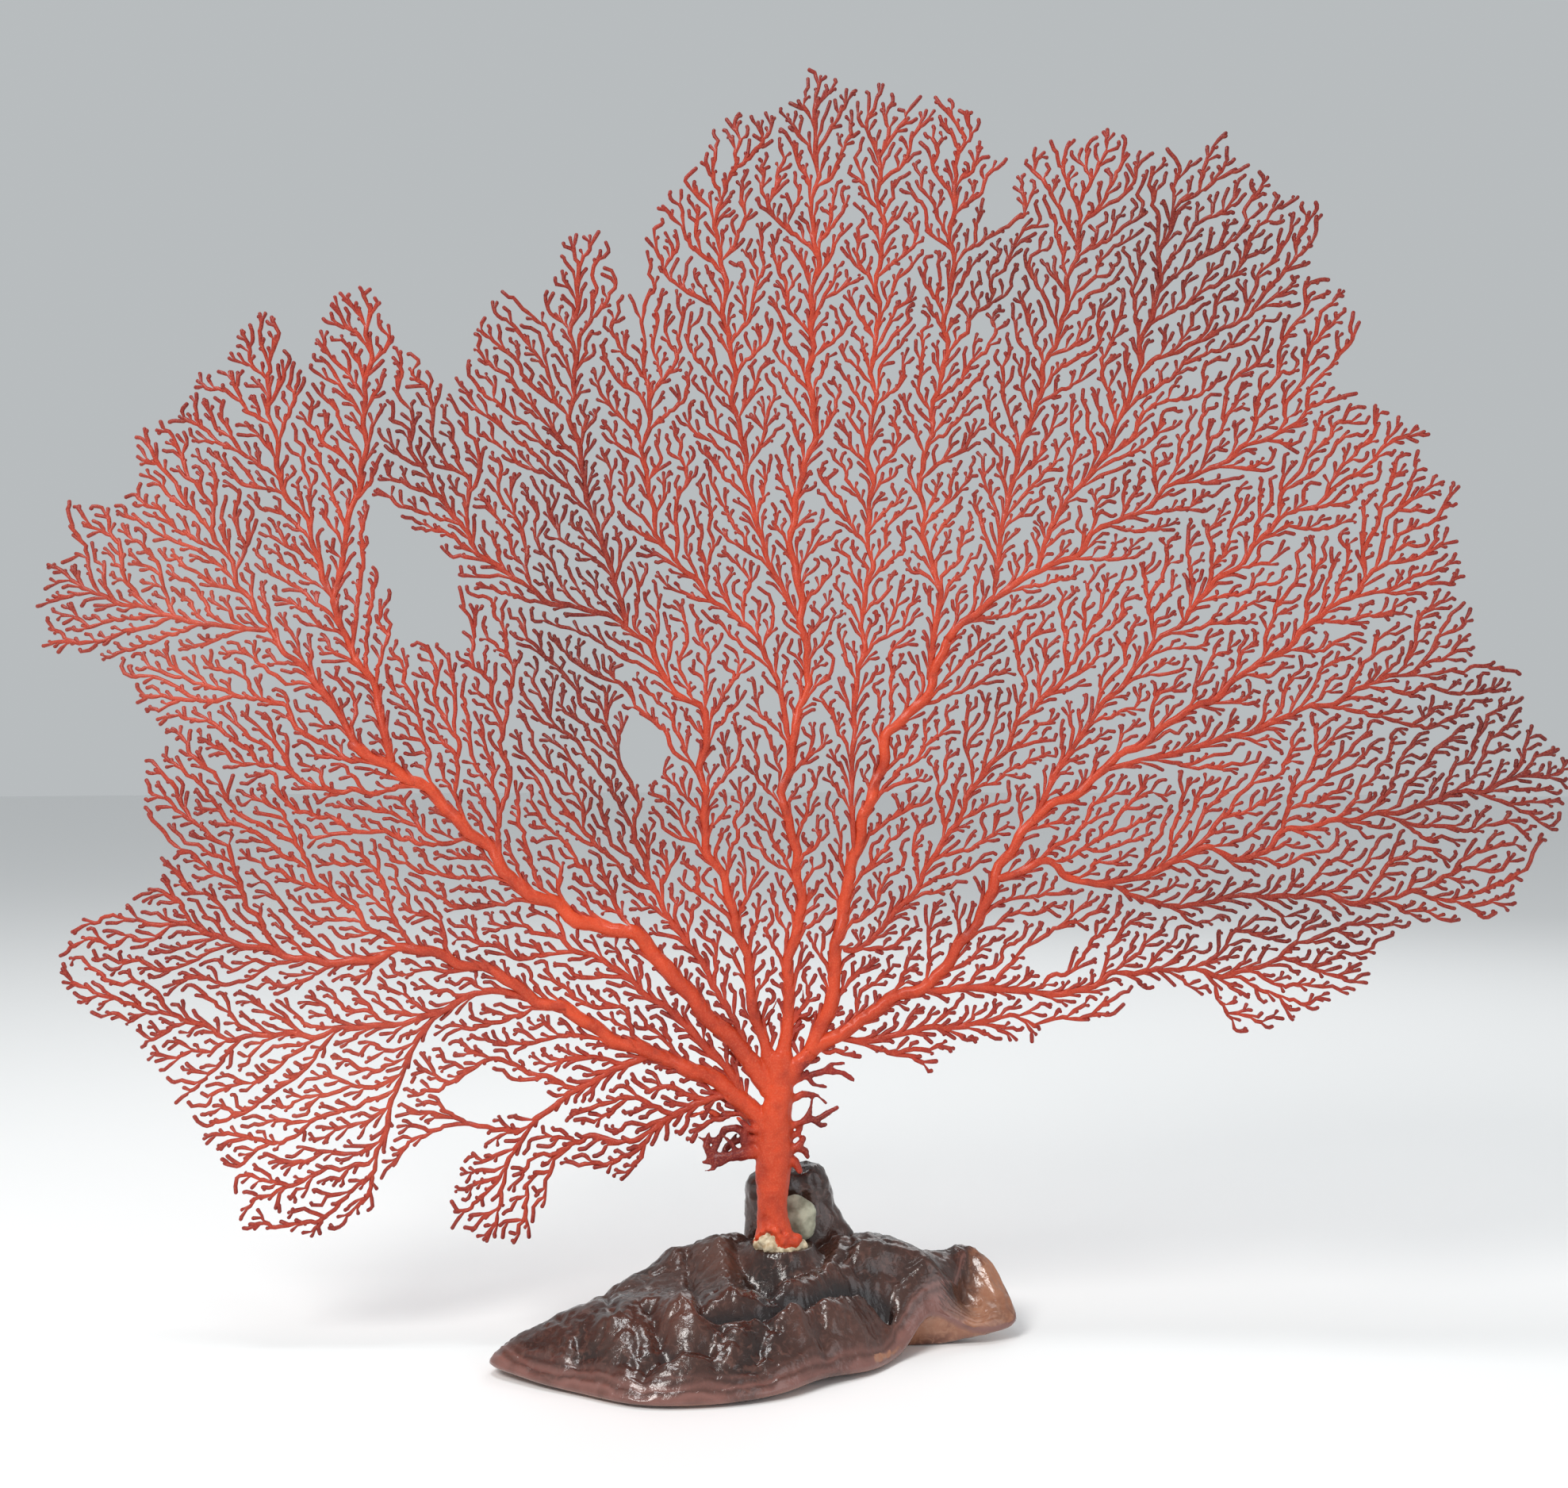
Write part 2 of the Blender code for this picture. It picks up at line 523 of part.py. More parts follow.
def sheet_depth(x, z):
    """How far the fan's sheet lies behind the trunk's plane, in mm."""
    away = math.dist((x, z), FAN_ROOT)
    across = WAVE_ACROSS * math.sin(WAVE_ACROSS_RATE * x + WAVE_PHASE)
    up = WAVE_UP * math.cos(WAVE_UP_RATE * z)
    return away * (across + up) * min(away / WAVE_START, 1.0)


def on_sheet(x, z):
    return Vector((x, sheet_depth(x, z), z)) * MM


class Network:
    """One piece of the fan as a single skin: square tubes that part at each fork and end in a point."""

    def __init__(self, fan, piece):
        self.fan = fan
        self.piece = piece
        self.points = []
        self.faces = []

    def radius(self, node):
        return limb_radius(self.fan, node) or 0.5 * TWIG_DIAMETER

    def own_kids(self, node):
        return [kid for kid in self.fan.kids[node] if LIMBS[self.fan.line[kid]][1] == self.piece]

    def next_stations(self, node, kid):
        """The points where the tube from node through kid gets a ring, up to its next fork or its tip."""
        fan = self.fan
        chain = [node, kid]
        side = fan.mark[kid] < 0 <= fan.mark[node]
        clear = self.radius(node) + 0.5 * TWIG_DIAMETER + SIDE_CLEARANCE if side else FORK_CLEARANCE
        while True:
            kids = self.own_kids(chain[-1])
            close = math.dist(fan.place[chain[-1]], fan.place[node]) < clear
            if not kids or (len(kids) > 1 and not close):
                break
            chain.append(max(kids, key=lambda k: (fan.mark[k] >= 0, self.reach[k])))
        if math.dist(fan.place[chain[-1]], fan.place[node]) < clear:
            return []
        limb = fan.mark[chain[-1]] >= 0
        kept = straighten([fan.place[n] for n in chain], LIMB_TOLERANCE if limb else BEND_TOLERANCE)
        return [chain[i] for i in kept[1:] if math.dist(fan.place[chain[i]], fan.place[node]) >= clear]

    def add_point(self, x, z, depth):
        place = on_sheet(x, z)
        place.y += depth * MM
        self.points.append(place)
        return len(self.points) - 1

    def columns(self, place, heading, radius, shares):
        """Pairs of front and back points across a tube, from its left edge to its right edge."""
        pairs = []
        for share in shares:
            off = radius * (1 - 2 * share)
            x, z = place[0] - heading[1] * off, place[1] + heading[0] * off
            pairs.append((self.add_point(x, z, -radius), self.add_point(x, z, radius)))
        return pairs

    def join(self, start, pairs):
        """Skins the tube from a ring of two pairs to the pairs across its next point."""
        (left_front, left_back), (right_front, right_back) = start
        fronts = [front for front, back in pairs]
        backs = [back for front, back in pairs]
        self.faces.append((left_front, left_back, backs[0], fronts[0]))
        self.faces.append((right_back, right_front, fronts[-1], backs[-1]))
        self.faces.append((right_front, left_front, *fronts))
        self.faces.append((left_back, right_back, *backs[::-1]))

    def build(self, roots):
        fan = self.fan
        self.reach = longest_reach(fan)
        work = []
        for place, kid in roots:
            heading = unit(fan.place[kid][0] - place[0], fan.place[kid][1] - place[1])
            start = self.columns(place, heading, self.radius(kid), (0, 1))
            (left_front, left_back), (right_front, right_back) = start
            self.faces.append((left_front, right_front, right_back, left_back))
            work.append((start, place, [kid]))
        while work:
            start, before, stations = work.pop()
            node, rest = stations[0], stations[1:]
            place = fan.place[node]
            arriving = unit(place[0] - before[0], place[1] - before[1])
            if rest:
                branches = [rest]
            else:
                branches = [self.next_stations(node, kid) for kid in self.own_kids(node)]
                branches = [branch for branch in branches if branch]
            if not branches:
                tip = self.add_point(place[0], place[1], 0.0)
                (left_front, left_back), (right_front, right_back) = start
                self.faces += [(left_front, left_back, tip), (left_back, right_back, tip),
                               (right_back, right_front, tip), (right_front, left_front, tip)]
                continue
            leaving = [unit(fan.place[b[0]][0] - place[0], fan.place[b[0]][1] - place[1]) for b in branches]
            turn = [arriving[0] * z - arriving[1] * x for x, z in leaving]
            sides = sorted(range(len(branches)), key=lambda i: -turn[i])
            widths = [self.radius(branches[i][0]) for i in sides]
            shares = [sum(widths[:i]) / sum(widths) for i in range(len(widths) + 1)]
            main = max(range(len(branches)), key=lambda i: self.radius(branches[i][0]))
            heading = unit(arriving[0] + leaving[main][0], arriving[1] + leaving[main][1])
            pairs = self.columns(place, heading, self.radius(node), shares)
            self.join(start, pairs)
            for column, i in enumerate(sides):
                work.append(((pairs[column], pairs[column + 1]), place, branches[i]))
        mesh = bpy.data.meshes.new(self.piece)
        mesh.from_pydata(self.points, [], self.faces)
        finish_mesh(mesh)
        return mesh


def round_tube(name, rings, sides, lump=0.0):
    """A closed tube through rings of (centre, radius along x, radius along y), each level."""
    points, faces = [], []
    for level, (centre, along_x, along_y) in enumerate(rings):
        for k in range(sides):
            angle = 2 * math.pi * k / sides
            swell = 1 + lump * math.sin(LUMPS_ROUND * angle + LUMP_TWIST * level)
            off = Vector((along_x * math.cos(angle), along_y * math.sin(angle), 0))
            points.append((Vector(centre) + off * swell) * MM)
    for level in range(len(rings) - 1):
        for k in range(sides):
            a, b = level * sides + k, level * sides + (k + 1) % sides
            faces.append((a, b, b + sides, a + sides))
    faces.append(tuple(range(sides))[::-1])
    faces.append(tuple(range(len(points) - sides, len(points))))
    mesh = bpy.data.meshes.new(name)
    mesh.from_pydata(points, [], faces)
    finish_mesh(mesh)
    return mesh


def tube_along(name, path, radius, sides):
    """A closed tube of one thickness along points of the fan's sheet."""
    points, faces = [], []
    for i, (x, z) in enumerate(path):
        before, after = path[max(i - 1, 0)], path[min(i + 1, len(path) - 1)]
        hx, hz = unit(after[0] - before[0], after[1] - before[1])
        for k in range(sides):
            angle = 2 * math.pi * (k + 0.5) / sides
            off = radius * math.cos(angle)
            place = on_sheet(x - hz * off, z + hx * off)
            place.y += radius * math.sin(angle) * MM
            points.append(place)
    for i in range(len(path) - 1):
        for k in range(sides):
            a, b = i * sides + k, i * sides + (k + 1) % sides
            faces.append((a, b, b + sides, a + sides))
    faces.append(tuple(range(sides))[::-1])
    faces.append(tuple(range(len(points) - sides, len(points))))
    mesh = bpy.data.meshes.new(name)
    mesh.from_pydata(points, [], faces)
    finish_mesh(mesh)
    return mesh


def trunk_rings(grow_by):
    return [((x, 0, z), width / 2 + grow_by, depth / 2 + grow_by) for z, x, width, depth in TRUNK_LEVELS]


def make_trunk(material):
    trunk = make_object("trunk", round_tube("trunk", trunk_rings(0), TRUNK_SIDES, TRUNK_LUMP), material)
    for number, points in enumerate(TRUNK_STUBS):
        stub = make_object(f"stub_{number}", stub_mesh(points), None)
        cut_with(trunk, stub, "UNION")
    return trunk


def stub_mesh(points):
    """A short pointed growth with four sides."""
    stub = Network(None, "stub")
    start = None
    for i, (x, z) in enumerate(points[:-1]):
        after = points[i + 1]
        heading = unit(after[0] - x, after[1] - z)
        pairs = stub.columns((x, z), heading, STUB_DIAMETER / 2 * (1 - STUB_TAPER * i), (0, 1))
        if start:
            stub.join(start, pairs)
        else:
            stub.faces.append((pairs[0][0], pairs[1][0], pairs[1][1], pairs[0][1]))
        start = pairs
    tip = stub.add_point(*points[-1], 0.0)
    (left_front, left_back), (right_front, right_back) = start
    stub.faces += [(left_front, left_back, tip), (left_back, right_back, tip), (right_back, right_front, tip),
                   (right_front, left_front, tip)]
    mesh = bpy.data.meshes.new("stub")
    mesh.from_pydata(stub.points, [], stub.faces)
    finish_mesh(mesh)
    return mesh


def make_limbs(fan, trunk_cutter, material):
    """One object for each piece, each cut back from the limb or trunk that it leaves."""
    pieces = []
    for name, piece, host, start, end, points in LIMBS:
        if piece not in pieces:
            pieces.append(piece)
    first = {}
    for node, line in enumerate(fan.line):
        if fan.mark[node] in (0, 1):
            first.setdefault((line, fan.mark[node]), node)
    for piece in pieces:
        order = next(i for i, limb in enumerate(LIMBS) if limb[1] == piece)
        host = LIMBS[order][2]
        network = Network(fan, piece)
        if host is None:
            node = first[order, 0]
            hx, hz = fan.heading[first[order, 1]]
            x, z = fan.place[node]
            roots = [((x - hx * ROOT_OVERLAP, z - hz * ROOT_OVERLAP), node)]
        else:
            node = first[order, 1]
            roots = [(fan.place[fan.parent[node]], node)]
        limb = make_object(piece, network.build(roots), material)
        if host is None:
            cut_with(limb, trunk_cutter)
            continue
        anchor = fan.parent[node]
        spine, onward = [anchor], [anchor]
        while fan.mark[spine[0]] > 0 and math.dist(fan.place[spine[0]], fan.place[anchor]) < CUTTER_REACH:
            spine.insert(0, fan.parent[spine[0]])
        while math.dist(fan.place[spine[-1]], fan.place[anchor]) < CUTTER_REACH:
            same_limb = [kid for kid in fan.kids[spine[-1]] if fan.line[kid] == fan.line[anchor]]
            onward = [kid for kid in same_limb if fan.mark[kid] >= 0]
            if not onward:
                break
            spine.append(onward[0])
        radius = max(limb_radius(fan, n) for n in spine) * CORNER_SHARE + JOINT_GAP
        places = [fan.place[n] for n in spine]
        if not onward:
            (ax, az), (bx, bz) = places[-2:]
            hx, hz = unit(bx - ax, bz - az)
            places.append((bx + hx * CUTTER_EXTRA, bz + hz * CUTTER_EXTRA))
        tube = tube_along(piece + "_cutter", places, radius, CUTTER_SIDES)
        cut_with(limb, make_object(piece + "_cutter", tube, None))


def rim_points():
    """Points at even steps round the rim, along a smooth closed line."""
    count = len(BASE_RIM)
    fine = []
    for i in range(count):
        spans = [BASE_RIM[(i + k) % count] for k in (-1, 0, 1, 2)]
        for k in range(RIM_CURVE_STEPS):
            fine.append(tuple(curve_point(*span, k / RIM_CURVE_STEPS) for span in zip(*spans)))
    lengths = [0.0]
    for a, b in zip(fine, fine[1:] + fine[:1]):
        lengths.append(lengths[-1] + math.dist(a, b))
    out = []
    for side in range(RIM_SIDES):
        target = lengths[-1] * side / RIM_SIDES
        i = next(k for k in range(len(fine)) if lengths[k + 1] > target)
        t = (target - lengths[i]) / (lengths[i + 1] - lengths[i])
        a, b = fine[i], fine[(i + 1) % len(fine)]
        out.append((a[0] + (b[0] - a[0]) * t, a[1] + (b[1] - a[1]) * t))
    return out


def rim_height(x, y):
    lifts = [
        lift * math.exp(-((x - cx) ** 2 + (y - cy) ** 2) / reach ** 2) for cx, cy, lift, reach in RIM_LIFTS]
    return RIM_FLOOR + sum(lifts)


def top_height(x, y, share):
    """Height of the base's top at a spot, share of the way from its middle to its rim."""
    dome = (1 - share ** DOME_STEEPNESS) ** DOME_FULLNESS
    height = rim_height(x, y) + RIM_THICKNESS + BASE_BODY_HEIGHT * dome
    for cx, cy, swell, along, across, turn in BASE_LUMPS:
        c, s = math.cos(math.radians(turn)), math.sin(math.radians(turn))
        u, v = (x - cx) * c + (y - cy) * s, -(x - cx) * s + (y - cy) * c
        height += swell * (1 - share ** LUMP_FADE) * math.exp(-(u / along) ** 2 - (v / across) ** 2)
    seat_x, seat_y, reach = FOOT_SEAT
    away = math.dist((x, y), (seat_x, seat_y))
    flat = min(max((reach + SEAT_EDGE - away) / SEAT_EDGE, 0.0), 1.0)
    return height + (FOOT_HEIGHT - height) * flat


def make_base(material):
    rim = rim_points()
    cx, cy = FOOT_SEAT[:2]
    points, faces = [(cx, cy, top_height(cx, cy, 0))], []
    for share in BASE_RINGS[::-1]:
        for x, y in rim:
            px, py = cx + (x - cx) * share, cy + (y - cy) * share
            points.append((px, py, top_height(px, py, share)))
    points += [(x, y, rim_height(x, y) + RIM_THICKNESS * RIM_EDGE_SHARE) for x, y in rim]
    points += [(x, y, rim_height(x, y)) for x, y in rim]
    points += [(cx + (x - cx) * FOOT_SHARE, cy + (y - cy) * FOOT_SHARE, 0.0) for x, y in rim]
    rings = len(BASE_RINGS) + 3
    for k in range(RIM_SIDES):
        after = (k + 1) % RIM_SIDES
        faces.append((0, 1 + k, 1 + after))
        for ring in range(rings - 1):
            a, b = 1 + ring * RIM_SIDES + k, 1 + ring * RIM_SIDES + after
            faces.append((a, a + RIM_SIDES, b + RIM_SIDES, b))
    last = 1 + (rings - 1) * RIM_SIDES
    faces.append(tuple(range(last, last + RIM_SIDES)))
    mesh = bpy.data.meshes.new("base")
    mesh.from_pydata([Vector(p) * MM for p in points], [], faces)
    finish_mesh(mesh)
    base = make_object("base", mesh, material)
    rings = [((x, y, z), width / 2, depth / 2) for z, x, y, width, depth in STALK_LEVELS]
    stalk = make_object("base_stalk", round_tube("base_stalk", rings, STALK_SIDES, STALK_LUMP), None)
    cut_with(base, stalk, "UNION")
    return base


def make_stone(material):
    shape = bmesh.new()
    bmesh.ops.create_uvsphere(shape, u_segments=STONE_SIDES, v_segments=STONE_LEVELS, radius=0.5)
    for vert in shape.verts:
        vert.co = Vector([(c + s * v) * MM for c, s, v in zip(STONE_CENTRE, STONE_SIZE, vert.co)])
    mesh = bpy.data.meshes.new("holdfast_stone")
    shape.to_mesh(mesh)
    shape.free()
    finish_mesh(mesh)
    return make_object("holdfast_stone", mesh, material)


def main():
    for thing in list(bpy.data.objects):
        bpy.data.objects.remove(thing, do_unlink=True)
    coral = make_material("coral", CORAL, roughness=0.62)
    wood = make_material("lacquered_wood", LACQUERED_BROWN, roughness=0.22, coat=0.6)
    stone = make_material("pale_stone", PALE_STONE, roughness=0.85)
    make_base(wood)
    make_stone(stone)
    make_trunk(coral)
    fan = grow_fan(TWIG_SPACING)
    drop_stubs(fan)
    tube = round_tube("trunk_cutter", trunk_rings(JOINT_GAP), TRUNK_SIDES, TRUNK_LUMP)
    trunk_cutter = make_object("trunk_cutter", tube, None)
    trunk_cutter.hide_render = True
    trunk_cutter.display_type = "WIRE"
    make_limbs(fan, trunk_cutter, coral)


main()
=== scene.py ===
import json
import math
import random
from collections import namedtuple

import bmesh
import bpy
import numpy as np
from mathutils import Matrix, Vector, noise

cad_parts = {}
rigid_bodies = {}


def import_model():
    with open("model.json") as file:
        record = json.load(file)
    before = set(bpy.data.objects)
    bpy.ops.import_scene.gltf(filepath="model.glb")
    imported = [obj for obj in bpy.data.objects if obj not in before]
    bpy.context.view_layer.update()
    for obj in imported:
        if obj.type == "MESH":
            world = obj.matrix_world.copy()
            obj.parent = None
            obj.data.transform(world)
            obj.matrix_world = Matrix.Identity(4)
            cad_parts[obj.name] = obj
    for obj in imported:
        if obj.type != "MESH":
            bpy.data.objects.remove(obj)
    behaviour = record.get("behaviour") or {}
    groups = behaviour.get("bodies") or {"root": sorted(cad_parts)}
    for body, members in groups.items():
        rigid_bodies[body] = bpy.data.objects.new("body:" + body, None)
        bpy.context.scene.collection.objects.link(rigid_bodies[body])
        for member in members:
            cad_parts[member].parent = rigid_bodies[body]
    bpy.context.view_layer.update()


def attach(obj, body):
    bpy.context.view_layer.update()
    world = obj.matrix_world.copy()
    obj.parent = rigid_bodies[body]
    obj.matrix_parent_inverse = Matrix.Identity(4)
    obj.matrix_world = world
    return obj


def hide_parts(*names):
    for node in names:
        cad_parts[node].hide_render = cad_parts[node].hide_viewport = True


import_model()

# Lengths are millimetres in the tables and metres in the meshes; x runs to the right, y back, z up
MM = 0.001
SEED = 7

# Twigs: thickness in mm, how it grows towards the root, and the shortest and longest twig
TWIG_DIAMETER = 1.1
THICKEST_STRAND = 1.6
THICKENING, THICKENING_POWER = 0.035, 0.6
ROOT_EXTRA, ROOT_REACH = 0.35, 55.0
KNOB_SHARE, KNOB_SIZE = 0.10, 1.3
SHORTEST_TWIG = 1.2
LONGEST_TWIG = 8.0
LONGEST_GAP_TWIG = 8.0

# Limbs: where they start, how they taper and waver, and how soon they appear
FAN_ROOT = (-2, 60)
LIMB_TAPER = 0.52
LIMB_LEAD = 2.0
BARE_ROOT = 4.0
BARE_START = 2.0
CURVE_SHARE = 0.25
SHORT_WAVE, SHORT_WAVE_LENGTH, SHORT_WAVE_TURN = 0.55, 1.9, 2.1
LONG_WAVE, LONG_WAVE_LENGTH, LONG_WAVE_TURN = 0.75, 3.7, 1.3
WAVES_FROM = 60.0

# Growth: how twigs turn outward, and how widely they open at a fork, in degrees and as shares
FLOW_BACK = 0.06
SPROUT_FORWARD = 0.5
WIDEST_OPENING = 100
OPENING_SPREAD = (0.8, 1.3)

# Skin of the twigs: bends and gaps between rings in mm, and the shape of rings, forks and tips
BEND_TOLERANCE = 0.14
LONGEST_GAP = 2.8
RING_SHARE = 0.96
RIDGE_LIMITS = (1.0, 1.6)
FORK_WIDTH = 0.55
FORK_EDGE = 1.1
VALLEY = 0.7
SAME_SHARE = 0.12
FIRST_RING = 0.6
SIDE_CLEAR = 1.2
TIP_AHEAD = 0.6
TIP_SHARE = 0.55

# Tone of the coral: how a limb's orange fades as it thins, and how far a twig's dark end reaches, in mm
SLIM_FADE = 2.5
TIP_FADE = 9.0

TINY = 1e-9

# How the strands that leave the limbs grow, and then the short twigs between them. Lengths are mm,
# angles degrees, and the shares are of the spacing or of a step.
STRANDS = {
    "spacing": 4.2, "step": 1.2, "crowding": 0.46, "reach": 2.2, "food": 0.40, "outward": 2.0,
    "straight": 1.0, "drift": 0.18, "keep": 0.7, "opening": 36, "near": 1.0, "run": 0.42,
    "apart": 0.75, "tip_turn": 0.4, "side_turn": 0.25}
TWIGS = {
    "spacing": 2.2, "step": 0.9, "crowding": 0.46, "reach": 2.2, "food": 0.38, "outward": 0.9,
    "straight": 1.4, "drift": 0.14, "keep": 0.6, "opening": 44, "near": 1.3, "run": 0.62,
    "apart": 1.25, "tip_turn": 0.0, "side_turn": -0.3}
GAP_TWIGS = {
    "spacing": 2.1, "step": 0.8, "crowding": 0.44, "reach": 2.4, "food": 0.36, "outward": 0.6,
    "straight": 1.3, "drift": 0.16, "keep": 0.6, "opening": 44, "near": 1.3, "run": 0.62,
    "apart": 1.1, "tip_turn": -0.1, "side_turn": -0.4}

